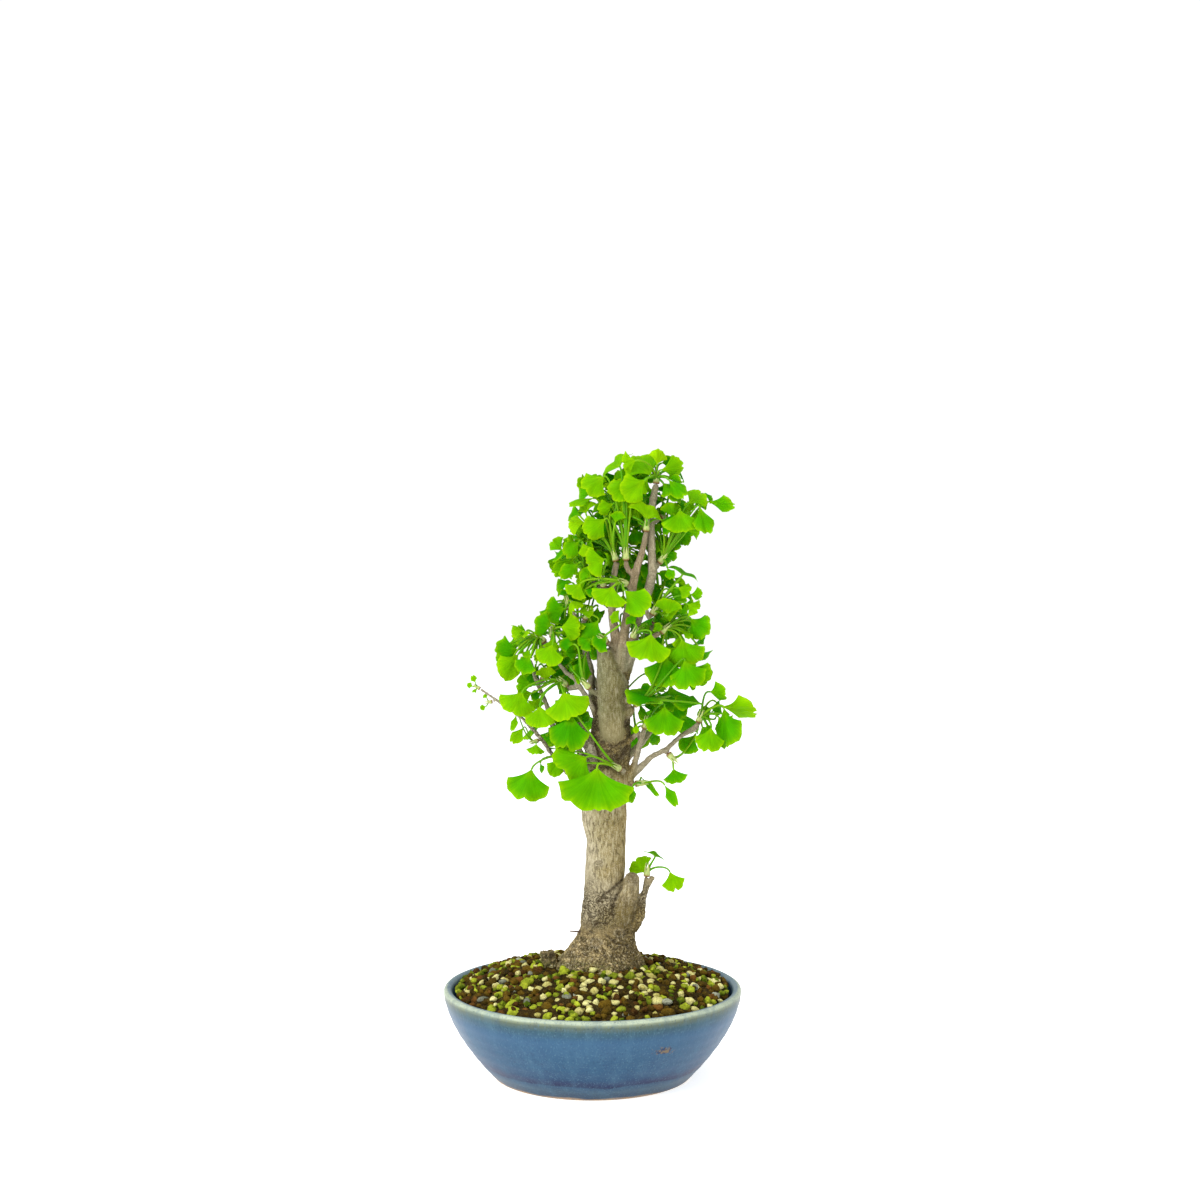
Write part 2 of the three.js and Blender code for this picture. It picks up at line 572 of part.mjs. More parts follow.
    leaves: [
      [73.5, 247.3, 55.8, 250.2, 22, -4, 62], [46.5, 248.4, 24, 257, 26, -16, 68],
      [49, 280.5, 47, 259.3, 26, -8, 5], [62, 277, 66, 257.9, 24, -3, 5], [35.4, 254.5, 36, 261, 8, -6, 15],
      [55, 247, 61, 237.5, 13, 4, 10],
    ],
  },
  {
    name: "leaves_cut_twig", at: [34.9, 230.4, -4], rise: [0.2, -0.1, 1],
    leaves: [[48.5, 246, 47.5, 226.6, 26, -13, 4], [30, 233.5, 28.7, 227.8, 5, -9, 0]],
  },
  {
    name: "leaves_right_end", at: [71.4, 234.6, -3.4], rise: [0.3, -0.1, 1], from: [68.4, 230.6, -3],
    leaves: [
      [79, 255.5, 89.5, 253.5, 19, -4, 50], [87, 245.6, 109.8, 241.3, 24, -1, 52],
      [88.5, 244.5, 89.3, 219, 27, -9, 55], [80, 231.5, 77.3, 216, 19, -15, 5],
      [79, 236.8, 73, 244.6, 11, -2, 10], [83, 238, 85.8, 246.5, 9, 5, 10],
    ],
  },
  {
    name: "leaves_right_low", at: [50.9, 213.8, -4], rise: [0.6, -0.2, -0.6], from: [49.5, 216, -3],
    leaves: [[69, 226.6, 61, 215.3, 15, 4, 8], [54.5, 203.8, 56.4, 194, 16, -5, 5]],
  },
  {
    name: "leaves_low_front", at: [18.6, 203.4, -17], rise: [-0.6, -0.7, 0.4], from: [20, 200, -8],
    leaves: [
      [3, 204.6, 1.3, 178.5, 47, -31, 0], [-4, 211.5, -19.6, 203.4, 32, -23, 12],
      [-14, 241, -18, 217.6, 27, -18, 5],
    ],
  },
  {
    name: "leaves_low_left", at: [-20.6, 207.6, -1.5], rise: [0.1, -0.4, 0.9], from: [-21.2, 204, 3],
    leaves: [
      [-41, 203.5, -46, 183.4, 29, -7, 4], [-35.2, 207.6, -34, 201, 8, 4, 60],
      [-21.5, 211.5, -27.6, 199, 12, -7, 12], [-8, 228, -12.4, 220.8, 10, 6, 12],
    ],
  },
  {
    name: "leaves_low_right", at: [28.6, 193.4, -6], rise: [0.8, -0.1, 0.1], from: [22, 193, -4],
    leaves: [
      [33, 197.5, 43.6, 186, 9, -3, 58], [48.5, 192.8, 56.2, 179.4, 8, -3, 8],
      [27.4, 192, 24.7, 181.4, 8, -17, 45],
    ],
  },
  {
    name: "leaves_foot", at: [36.4, 131, -7], rise: [0.1, -0.1, 1],
    leaves: [
      [36, 133.5, 28.4, 141.6, 18, 0, 8], [42, 144.2, 43, 146.6, 16, -7, 0],
      [52, 134.4, 56, 122.2, 15, -9, 0],
    ],
  },
  {
    name: "leaves_twig_end", at: [-75.7, 257.4, 0], rise: [-0.8, 0, 0.5], size: 0.55,
    leaves: [
      [-79, 261.6, -81.2, 266.4, 5, -2, 0], [-80.6, 259, -84.8, 260.4, 4.5, 1, 0],
      [-79, 255, -80.4, 257, 4, -3, 0],
    ],
  },
  {
    name: "leaves_twig_side", at: [-67.3, 248.8, 0], rise: [-1, 0, -0.1], size: 0.55,
    leaves: [[-71.3, 251.2, -73.2, 253.6, 4.5, 1, 0], [-71.8, 245.6, -75.6, 244.3, 4.5, -1, 0]],
  },
  {
    name: "leaves_twig_middle", at: [-36.8, 222.6, -1], rise: [-0.8, -0.4, -0.2],
    from: [-34.4, 224, 1], size: 0.7,
    leaves: [
      [-38, 220.4, -38.7, 213.6, 12, -5, 0], [-46.4, 231.5, -54.4, 221.4, 9, 2, 10],
      [-51.4, 240, -54, 229.5, 6, 6, 30],
    ],
  },
];

// Tufts on the far side, whose leaves are fanned round the shoot by rule.
const BACK_TUFTS = [
  { name: "leaves_back_low", at: [-14.4, 227, 40.8], rise: [-0.3, 0.5, 0.8], count: 4, width: 27 },
  { name: "leaves_back_right", at: [44.4, 237, 38.8], rise: [0.4, 0.4, 0.8], count: 4, width: 28 },
  {
    name: "leaves_back_right_inner", at: [31, 226, 34], rise: [-0.3, 0.7, 0.6], from: [33, 221.5, 31.5],
    count: 3, width: 24,
  },
  { name: "leaves_back_middle", at: [-6.6, 275.2, 38.8], rise: [-0.3, 0.4, 0.8], count: 4, width: 26 },
  {
    name: "leaves_back_trunk", at: [10, 243, 23], rise: [0.5, 0.8, 0.4], from: [10, 246, 16],
    count: 3, width: 25,
  },
  { name: "leaves_back_high", at: [41.6, 301.2, 34.8], rise: [0.3, 0.4, 0.8], count: 4, width: 26 },
  {
    name: "leaves_back_high_inner", at: [25, 285, 25], rise: [-0.5, 0.7, 0.5], from: [28, 282, 22],
    count: 3, width: 24,
  },
  { name: "leaves_back_leader", at: [-0.4, 347.2, 28.6], rise: [-0.3, 0.5, 0.8], count: 4, width: 23 },
  { name: "leaves_back_crown", at: [26.8, 383.2, 22.6], rise: [-0.2, 0.5, 0.8], count: 4, width: 20.5 },
  {
    name: "leaves_back_top", at: [45, 372, 6], rise: [0.6, 0.7, 0.4], from: [39.2, 369, 0],
    count: 3, width: 20,
  },
];

// Half of a blade's outline, from its side edge to the cleft in its margin: [along the midline,
// across], as shares of the blade's length and half width. The wider the blade, the fuller its
// outline.
const HALF_OUTLINES = [
  { from: 28, half: [[0.2, 0.5], [0.46, 1], [0.75, 0.92], [0.93, 0.56], [1, 0.2]] },
  { from: 16.5, half: [[0.21, 0.48], [0.5, 1], [0.83, 0.8], [1, 0.26]] },
  { from: 9.5, half: [[0.24, 0.46], [0.62, 1], [0.96, 0.44]] },
  { from: 0, half: [[0.45, 0.94], [1, 0.45]] },
];
const CLEFT = 0.88;
const CLEFT_VARIATION = 0.06;
const MARGIN_VARIATION = 0.05;
const DRAWS_PER_BLADE = 17; // chance numbers set aside for each blade's margin

// How the leaves of a far-side tuft are fanned round their bud: by shares of a turn and of the tuft's
// usual width, and by shares of each leaf's reach along and away from the bud. Its blades hang by these
// outward, backward and downward parts.
const FAN = {
  turnRange: 0.12, leastWidth: 0.8, widthRange: 0.4, leastReach: 0.7, reachRange: 0.3, climb: 0.6,
  spread: 0.7, hangOut: 0.7, hangBack: 0.35, hangDown: 0.75,
};

// How far a point of the blade stands off its flat plane, as a share of the width: cupped across,
// drooping towards the margin, and rippled.
function bladeWave(along, across, index) {
  const cup = CUP + CUP_RANGE * chance(index + 0.1);
  const droop = DROOP_RANGE * (chance(index + 0.2) - DROOP_RISE);
  const turn = RIPPLE_TURN * (1 + chance(index + 0.3));
  const ripple = RIPPLE * Math.sin(across * turn + RIPPLE_START * chance(index + 0.4));
  return -cup * across * across * along - droop * along * along + ripple * along;
}

// A blade's whole outline, one side edge to the other through the cleft.
function bladeOutline(width, index) {
  const { half } = HALF_OUTLINES.find(({ from }) => width >= from);
  const first = index * DRAWS_PER_BLADE;
  const varied = ([along, across], k) => [along + MARGIN_VARIATION * (chance(first + k) - 0.5), across];
  const right = half.map(varied);
  const left = half.toReversed().map(([along, across], k) => varied([along, -across], k + half.length + 1));
  return [...right, [CLEFT + CLEFT_VARIATION * chance(index + 0.5), 0], ...left];
}

// How half of a blade's face is split, from its waist, the outline's first or last point, to the cleft:
// each stretch of the outline makes a triangle with the waist as long as the side edge hides the joint
// from it, and then with the joint, which stands as null.
function halfBlade(outline, waist, step) {
  const steepness = (k) => Math.abs(outline[k][1]) / outline[k][0];
  const cleft = (outline.length - 1) / 2;
  const triangles = [];
  let k = waist + step;
  for (; steepness(k) > steepness(waist); k += step) {
    triangles.push([waist, k, k + step]);
  }
  triangles.push([null, waist, k]);
  for (; k !== cleft; k += step) {
    triangles.push([null, k, k + step]);
  }
  return triangles;
}

// The bend of a petiole, from beside the bud's heart, where it rises with the bud, to the blade's joint.
function petioleCurve({ base, axis }, { heart, lift, size }, index) {
  const outward = base.clone().sub(heart);
  outward.addScaledVector(lift, -outward.dot(lift)).normalize();
  const root = heart
    .clone()
    .addScaledVector(outward, ROOT_SPREAD * BUD_RADIUS * size)
    .addScaledVector(lift, ROOT_CLIMB * BUD_LENGTH * size * (chance(index + 0.8) - 0.5));
  const reach = root.distanceTo(base);
  const rise = THREE.MathUtils.clamp(PETIOLE_RISE * reach, LEAST_RISE, MOST_RISE);
  const runIn = Math.min(PETIOLE_RUN_IN * reach, MOST_RUN_IN);
  return new THREE.CubicBezierCurve3(
    root,
    root.clone().addScaledVector(lift, rise),
    base.clone().addScaledVector(axis, -runIn),
    base,
  );
}

// The fan blade and its three-sided petiole, as one closed skin. `frame` holds the joint, the midline,
// the side direction and the upper face's normal; `bud` holds its heart, the way it points and its
// size. Unstalked, the blade stands alone.
function leafSolid(frame, bud, index, stalked) {
  const { base, axis, side, normal, width, length } = frame;
  const stem = (PETIOLE_WIDTH * bud.size) / 2;
  const petiole = petioleCurve(frame, bud, index);
  const points = stalked ? petiole.getPoints(petiole.getLength() > LONG_PETIOLE ? 3 : 2) : [base];
  const { tangents, sides } = carriedSides(points, side);
  const handed = side.clone().cross(axis).dot(normal);
  const skin = points.flatMap((point, i) => {
    const last = i === points.length - 1;
    const across = last ? side : sides[i];
    const up = last ? normal : across.clone().cross(tangents[i]).multiplyScalar(handed);
    const tall = last ? BLADE_THICKNESS / 2 : stem;
    return [[1, 1], [0, -1], [-1, 1]].map(([right, above]) =>
      point
        .clone()
        .addScaledVector(across, right * stem)
        .addScaledVector(up, above * tall),
    );
  });
  const faces = [[0, 2, 1]];
  for (let a = 0; a + 3 < skin.length; a++) {
    const b = a % 3 === 2 ? a - 2 : a + 1;
    faces.push([a, b + 3, a + 3], [a, b, b + 3]);
  }
  const [right, under, left] = [3, 2, 1].map((back) => skin.length - back);
  const outline = bladeOutline(width, index);
  const top = skin.length;
  const low = top + outline.length;
  for (const face of [1, -1]) {
    for (const [along, across] of outline) {
      const point = base
        .clone()
        .addScaledVector(axis, along * length)
        .addScaledVector(side, (across * width) / 2)
        .addScaledVector(normal, bladeWave(along, across, index) * width + (face * BLADE_THICKNESS) / 2);
      skin.push(point);
    }
  }
  const final = outline.length - 1;
  for (const [waist, step, corner] of [[0, 1, right], [final, -1, left]]) {
    for (const triangle of halfBlade(outline, waist, step)) {
      const above = triangle.map((k) => (k === null ? corner : top + k));
      const below = triangle.map((k) => (k === null ? under : low + k));
      faces.push(step > 0 ? above : above.toReversed(), step > 0 ? below.toReversed() : below);
    }
  }
  for (let k = 0; k < final; k++) {
    faces.push([top + k, low + k, low + k + 1], [top + k, low + k + 1, top + k + 1]);
  }
  faces.push([right, top + final / 2, left], [right, under, low], [right, low, top]);
  faces.push([under, left, top + final], [under, top + final, low + final]);
  return solidOfArrays(skin, faces);
}

// The frame of a leaf drawn in the elevation. A blade that faces the front is turned a little about
// its midline, and widened to match, so that it keeps its drawn width.
function elevationFrame([baseX, baseZ, tipX, tipZ, drawnWidth, depth, drawnRoll], index, shift) {
  const base = place(baseX, baseZ, depth + shift);
  const reach = (depth + shift - EYE.y) / -EYE.y;
  const seen = new THREE.Vector3((tipX - baseX) * reach, 0, (tipZ - baseZ) * reach);
  const handed = chance(index + 0.6) < 0.5 ? -1 : 1;
  const turned = handed * (LEAST_TURN + TURN_RANGE * chance(index + 0.7));
  const free = drawnRoll >= TURNED_FROM && drawnRoll < TURNED_TO;
  const roll = THREE.MathUtils.degToRad(free ? turned : drawnRoll);
  const width = (drawnWidth * Math.cos(THREE.MathUtils.degToRad(drawnRoll))) / Math.cos(roll);
  const length = Math.max(BLADE_PROPORTION * width, LEAST_LEAN * seen.length());
  const lean = Math.sqrt(length * length - seen.lengthSq());
  const axis = seen.clone().setY(tipZ < baseZ ? -lean : lean).normalize();
  const side = new THREE.Vector3(0, 1, 0).cross(seen).normalize();
  const normal = side.clone().cross(axis).normalize();
  if (normal.y > 0) {
    normal.negate();
  }
  side.applyAxisAngle(axis, roll);
  normal.applyAxisAngle(axis, roll);
  return { base, axis, side, normal, width, length };
}

// The frame of leaf `k` of a far-side tuft, fanned round its bud and hanging outwards.
function fannedFrame({ count, width: usual, heart, lift }, k, index, shift) {
  const turn = (k / count + FAN.turnRange * chance(index + 0.6)) * 2 * Math.PI;
  const outward = new THREE.Vector3(1, 0, 0).cross(lift).normalize().applyAxisAngle(lift, turn);
  const width = usual * (FAN.leastWidth + FAN.widthRange * chance(index + 0.7));
  const reach = width * (FAN.leastReach + FAN.reachRange * chance(index + 0.9));
  const base = heart
    .clone()
    .addScaledVector(lift, FAN.climb * reach)
    .addScaledVector(outward, FAN.spread * reach + Math.abs(shift));
  base.y += Math.max(shift, 0);
  const hang = new THREE.Vector3(0, FAN.hangBack, -FAN.hangDown);
  const axis = outward.clone().multiplyScalar(FAN.hangOut).add(hang).normalize();
  const side = new THREE.Vector3(0, 0, 1).cross(axis).normalize();
  const normal = axis.clone().cross(side).normalize();
  return { base, axis, side, normal, width, length: BLADE_PROPORTION * width };
}

function budSolid({ tip, lift, size }) {
  const foot = tip.clone().addScaledVector(lift, GAP);
  const point = tip.clone().addScaledVector(lift, GAP + BUD_LENGTH * size);
  return limb([[foot, BUD_RADIUS * size], [point, BUD_TAPER * BUD_RADIUS * size]], BUD_CORNERS);
}

function withBox(solid) {
  return { solid, box: solid.boundingBox() };
}

// True if a solid keeps its distance from all the others.
function clearOf({ solid, box }, others) {
  return others.every(({ solid: other, box: near }) => {
    const apart = [0, 1, 2].some((i) => box.min[i] > near.max[i] + GAP || near.min[i] > box.max[i] + GAP);
    return apart || solid.minGap(other, GAP) >= LEAST_CLEARANCE;
  });
}

// A leaf at the first depth where it hangs clear of what stands, and of its own tuft's blades if any
// depth allows.
function growLeaf(frameAt, bud, index, standing, grown) {
  let crossing = null;
  for (const shift of DEPTH_STEPS) {
    const frame = frameAt(shift);
    const leaf = withBox(leafSolid(frame, bud, index, true));
    if (!clearOf(leaf, standing)) {
      continue;
    }
    const blade = withBox(leafSolid(frame, bud, index, false));
    const leaves = grown.map((one) => one.leaf);
    const blades = grown.map((one) => one.blade);
    if (clearOf(blade, leaves) && clearOf(leaf, blades)) {
      return { leaf, blade };
    }
    crossing ??= { leaf, blade };
  }
  return crossing;
}

// ---- assembly -----------------------------------------------------------------------------------

function zip(inner, outer, faces) {
  let [i, o] = [0, 0];
  while (i < inner.length || o < outer.length) {
    const inside = inner[i % inner.length];
    const outside = outer[o % outer.length];
    if (o >= outer.length || (i < inner.length && (i + 0.5) / inner.length < (o + 0.5) / outer.length)) {
      i += 1;
      faces.push([inside, outside, inner[i % inner.length]]);
    } else {
      o += 1;
      faces.push([inside, outside, outer[o % outer.length]]);
    }
  }
}

function moundHeight(radius) {
  const share = radius / (RIM_RADIUS - 2 * LIP_RADIUS);
  return SOIL_CROWN + (LIP_HEIGHT - SOIL_CROWN) * share * share;
}

function makeSoil(rootRoom) {
  const points = [new THREE.Vector3(0, 0, SOIL_CROWN)];
  const faces = [];
  const ring = (radius, height, count, relief) => {
    const first = points.length;
    for (let k = 0; k < count; k++) {
      const stray = relief * GRAIN_SCATTER * (chance(first + k) - 0.5);
      const angle = ((k + stray) / count) * 2 * Math.PI;
      const grain = relief * GRAIN_RELIEF * (chance(first + 2 * k) - 0.5);
      points.push(new THREE.Vector3(radius * Math.cos(angle), radius * Math.sin(angle), height + grain));
    }
    return Array.from({ length: count }, (_, k) => first + k);
  };
  const wall = innerWall(GAP).getPoints(WALL_STEPS);
  const steps = Math.round(wall[0].x / GRAIN_PITCH);
  let before = [0];
  for (let step = 1; step < steps; step++) {
    const radius = (step / steps) * wall[0].x;
    const now = ring(radius, moundHeight(radius), Math.round((2 * Math.PI * radius) / GRAIN_PITCH), 1);
    zip(before, now, faces);
    before = now;
  }
  for (const { x, y } of wall) {
    const now = ring(x, y, POT_SIDES, 0);
    zip(before, now, faces);
    before = now;
  }
  points.push(new THREE.Vector3(0, 0, FLOOR_TOP + GAP));
  zip(before, [points.length - 1], faces);
  let soil = solidOfArrays(points, faces).subtract(rootRoom);
  for (const side of [-1, 1]) {
    soil = soil.subtract(makeScreen(side, GAP));
  }
  const bodies = soil.decompose().sort((a, b) => b.volume() - a.volume());
  return bodies[0];
}

const group = new THREE.Group();
group.add(meshOf("pot", makePot(), GLAZE));
group.add(meshOf("drain_screen_left", makeScreen(-1, 0), SCREEN_PLASTIC));
group.add(meshOf("drain_screen_right", makeScreen(1, 0), SCREEN_PLASTIC));

// The foot of the tree and the room around it that the soil leaves.
const rootRoom = column(TRUNK.slice(0, ROOT_STOCK_ROWS), GAP, barkSwell).add(limbOf(LIMBS.rootStump, GAP));
const soil = makeSoil(rootRoom);
group.add(meshOf("soil", soil, GRIT));

const tufts = [...TUFTS, ...BACK_TUFTS].map((tuft) => {
  const { at, rise, size = 1 } = tuft;
  const tip = place(...at);
  const lift = new THREE.Vector3(...rise).normalize();
  const heart = tip.clone().addScaledVector(lift, GAP + HEART * BUD_LENGTH * size);
  return { ...tuft, tip, lift, heart, size };
});

// The shoot that carries a tuft: from inside the wood to the tip, ending square to the bud.
function shootSolid({ from, tip, lift, size }) {
  const foot = place(...from);
  const near = tip.clone().addScaledVector(lift, -SHOOT_BEND * foot.distanceTo(tip));
  return limb(
    [foot, near, tip].map((point, i) => [point, SHOOT_RADII[i] * size]),
    SHOOT_CORNERS,
  );
}

const wood = wasm.Manifold.union([
  column(TRUNK, 0, barkSwell),
  column(HEALED_COLUMN, 0, () => 1),
  ...Object.values(LIMBS).map((stations) => limbOf(stations, 0)),
  ...tufts.filter(({ from }) => from).map(shootSolid),
]).simplify(BARK_SMOOTHING);
group.add(meshOf("tree_wood", wood, BARK));

const standing = [withBox(wood), withBox(soil)];
const buds = tufts.map(budSolid);
let leafNumber = 0;
tufts.forEach((tuft, t) => {
  const otherBuds = buds.filter((bud) => bud !== buds[t]).map(withBox);
  const grown = [];
  for (let k = 0; k < (tuft.count ?? tuft.leaves.length); k++) {
    leafNumber += 1;
    const index = leafNumber;
    const frameAt = (shift) =>
      tuft.leaves ? elevationFrame(tuft.leaves[k], index, shift) : fannedFrame(tuft, k, index, shift);
    const leaf = growLeaf(frameAt, tuft, index, [...standing, ...otherBuds], grown);
    if (leaf) {
      grown.push(leaf);
    }
  }
  const spray = wasm.Manifold.union([buds[t], ...grown.map(({ leaf }) => leaf.solid)]);
  standing.push(withBox(spray));
  group.add(meshOf(tuft.name, spray, LEAF));
});

export default group;
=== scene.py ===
"""The looks of a ginkgo bonsai in its round glazed pot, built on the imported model.

Sizes and places are in millimetres, with +Z up and the front of the tree facing -Y, and become
metres where a mesh is made. The tree's leaves are laid out as in the part's source: a place is
[across, up, depth] on an elevation seen from EYE, and `place` pulls it along the line of sight.
"""

import math
import random
from functools import partial

import bmesh
import bpy
import numpy as np
from mathutils import Matrix, Vector, bvhtree, kdtree, noise


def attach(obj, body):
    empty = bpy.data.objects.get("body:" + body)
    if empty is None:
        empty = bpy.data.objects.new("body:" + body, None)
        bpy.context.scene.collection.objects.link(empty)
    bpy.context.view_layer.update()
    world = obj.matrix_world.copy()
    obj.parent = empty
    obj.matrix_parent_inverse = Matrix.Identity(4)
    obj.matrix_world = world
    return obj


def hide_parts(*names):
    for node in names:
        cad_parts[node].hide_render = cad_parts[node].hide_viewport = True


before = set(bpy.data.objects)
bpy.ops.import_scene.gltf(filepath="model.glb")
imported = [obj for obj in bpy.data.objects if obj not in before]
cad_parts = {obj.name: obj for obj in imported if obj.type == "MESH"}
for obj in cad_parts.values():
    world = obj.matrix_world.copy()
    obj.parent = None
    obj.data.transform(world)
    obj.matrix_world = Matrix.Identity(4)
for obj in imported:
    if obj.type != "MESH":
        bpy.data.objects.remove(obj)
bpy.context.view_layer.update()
MM = 0.001

# ---- driving dimensions -------------------------------------------------------------------------

EYE = np.array([5.0, -1107.0, 317.3])
GAP = 0.35  # between a shoot's tip and the bud on it

RIM_RADIUS = 100
POT_HEIGHT = 58.3
LIP_RADIUS = 3
FOOT_RADIUS = 66.3
FOOT_BEVEL = 1.3
FLOOR_TOP = 7
INNER_FLOOR_RADIUS = 60
LIP_HEIGHT = POT_HEIGHT - LIP_RADIUS
MOUTH_RADIUS = RIM_RADIUS - 2 * LIP_RADIUS
DRAIN_X = 32
DRAIN_RADIUS = 8
CHANNEL_WIDTH = 12
CHANNEL_DEPTH = 2.5

SOIL_CROWN = 73.5

BLADE_THICKNESS = 0.8  # of the frame's blades; the leaves made here are as thin as real ones
BLADE_PROPORTION = 0.62
LEAST_LEAN = 1.05
TURNED_FROM = 9
TURNED_TO = 30
LEAST_TURN = 8
TURN_RANGE = 26
CUP = 0.1
CUP_RANGE = 0.14
DROOP_RANGE = 0.16
DROOP_RISE = 0.25
RIPPLE = 0.05
RIPPLE_TURN = 3
RIPPLE_START = 6
PETIOLE_RISE = 0.4
LEAST_RISE = 2.5
MOST_RISE = 14
PETIOLE_RUN_IN = 0.3
MOST_RUN_IN = 6
BUD_LENGTH = 4.6
BUD_RADIUS = 1.9
HEART = 0.45  # how far up a bud its heart is, as a share of its length
ROOT_SPREAD = 0.3
ROOT_CLIMB = 0.4
CLEFT = 0.88
CLEFT_VARIATION = 0.06
MARGIN_VARIATION = 0.05
DRAWS_PER_BLADE = 17
# How far the frame may have moved a leaf back or forth to clear others.
DEPTH_STEPS = [0, 3, -3, 6, -6, 9, -9, 12, -12, 15, -15, 18, -18, 21]
FAN = {
    "turn_range": 0.12, "least_width": 0.8, "width_range": 0.4, "least_reach": 0.7, "reach_range": 0.3,
    "climb": 0.6, "spread": 0.7, "hang": (0.7, 0.35, -0.75),
}


# ---- small tools --------------------------------------------------------------------------------


def chance(index):
    """A repeatable number from 0 to 1 for each number given, the same as in the part's source."""
    wave = math.sin(index * 12.9898) * 43758.5453
    return wave - math.floor(wave)


def place(across, up, depth):
    """The point that appears at [across, up] on the elevation and lies at a depth behind it."""
    reach = (depth - EYE[1]) / -EYE[1]
    return np.array([EYE[0] + (across - EYE[0]) * reach, depth, EYE[2] + (up - EYE[2]) * reach])


def elevation(points):
    """Where points appear on the elevation, as [across, up] columns."""
    reach = (points[:, 1] - EYE[1]) / -EYE[1]
    return EYE[0] + (points[:, 0] - EYE[0]) / reach, EYE[2] + (points[:, 2] - EYE[2]) / reach


def unit(vector):
    return vector / np.linalg.norm(vector)


def turned(vector, axis, angle):
    """A vector turned about a unit axis."""
    cos, sin = math.cos(angle), math.sin(angle)
    return vector * cos + np.cross(axis, vector) * sin + axis * np.dot(axis, vector) * (1 - cos)


def smoothstep(low, high, value):
    share = np.clip((np.asarray(value, float) - low) / (high - low), 0, 1)
    return share * share * (3 - 2 * share)


def linear(red, green, blue):
    """A display colour of 0 to 255 as linear light, with full alpha."""
    share = np.array([red, green, blue]) / 255
    return (*np.where(share <= 0.04045, share / 12.92, ((share + 0.055) / 1.055) ** 2.4), 1.0)


def mixed(low, high, share):
    """Linear colours blended by a number or by a column of numbers."""
    share = np.asarray(share, float)[..., None]
    return np.asarray(low)[..., :4] * (1 - share) + np.asarray(high)[..., :4] * share


def noise_of(points, scale, seed=0.0, stretch=(1, 1, 1)):
    """Smooth noise from about -1 to 1 at each point."""
    shifted = points * (np.array(stretch) * scale) + seed
    return np.array([noise.noise(Vector(point)) for point in shifted])


def rough_noise_of(points, scale, octaves, seed):
    """Noise of several octaves at each point."""
    return np.array([noise.fractal(Vector(point), 1.0, 2.0, octaves) for point in points * scale + seed])


def mesh_object(name, points, faces, materials):
    """A smoothly shaded object from points in millimetres and a list of faces."""
    mesh = bpy.data.meshes.new(name)
    mesh.from_pydata((np.asarray(points) * MM).tolist(), [], faces)
    mesh.validate()
    mesh.polygons.foreach_set("use_smooth", [True] * len(mesh.polygons))
    for material in materials:
        mesh.materials.append(material)
    thing = bpy.data.objects.new(name, mesh)
    bpy.context.scene.collection.objects.link(thing)
    return thing


def colour_points(thing, name, colours):
    attribute = thing.data.color_attributes.new(name, "FLOAT_COLOR", "POINT")
    attribute.data.foreach_set("color", np.asarray(colours, np.float32).ravel())


def points_of(thing):
    """A mesh object's points in millimetres."""
    flat = np.empty(len(thing.data.vertices) * 3, np.float32)
    thing.data.vertices.foreach_get("co", flat)
    return flat.reshape(-1, 3).astype(float) / MM


def normals_of(thing):
    flat = np.empty(len(thing.data.vertices) * 3, np.float32)
    thing.data.vertex_normals.foreach_get("vector", flat)
    return flat.reshape(-1, 3).astype(float)


def move_points(thing, points):
    thing.data.vertices.foreach_set("co", (points * MM).astype(np.float32).ravel())
    thing.data.update()


def modified(thing, *steps):
    """Applies modifiers, each given as its kind and its settings, to an object's mesh."""
    for kind, settings in steps:
        modifier = thing.modifiers.new(kind, kind)
        for key, value in settings.items():
            setattr(modifier, key, value)
    bpy.context.view_layer.update()
    graph = bpy.context.evaluated_depsgraph_get()
    made = bpy.data.meshes.new_from_object(thing.evaluated_get(graph))
    thing.modifiers.clear()
    thing.data = made


def dress(thing, material):
    """Gives an object one material and smooth shading."""
    thing.data.materials.clear()
    thing.data.materials.append(material)
    thing.data.polygons.foreach_set("use_smooth", [True] * len(thing.data.polygons))


def welded_copy(node, name):
    """A copy of a frame node's mesh with its doubled points merged."""
    shape = bmesh.new()
    shape.from_mesh(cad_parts[node].data)
    bmesh.ops.remove_doubles(shape, verts=shape.verts, dist=1e-3 * MM)
    mesh = bpy.data.meshes.new(name)
    shape.to_mesh(mesh)
    shape.free()
    thing = bpy.data.objects.new(name, mesh)
    bpy.context.scene.collection.objects.link(thing)
    return thing


def finished(thing, slot, *nodes):
    """Attaches a piece to the only body and hides the frame nodes that it stands for."""
    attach(thing, "root")
    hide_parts(*nodes)


def grid_faces(rows, columns):
    """Faces between the points of a grid."""
    grid = np.arange(rows * columns).reshape(rows, columns)
    return np.stack([grid[:-1, :-1], grid[1:, :-1], grid[1:, 1:], grid[:-1, 1:]], axis=-1).reshape(-1, 4)


def sheet_faces(rows, columns):
    """Faces of a thin closed sheet: a grid, its copy behind it, and the wall round their rims."""
    grid = np.arange(rows * columns).reshape(rows, columns)
    front = grid_faces(rows, columns)
    rim = np.concatenate([grid[0, :-1], grid[:-1, -1], grid[-1, :0:-1], grid[:0:-1, 0]])
    after = np.roll(rim, -1)
    wall = np.stack([rim, after, after + grid.size, rim + grid.size], axis=-1)
    return np.vstack([front, front[:, ::-1] + grid.size, wall])


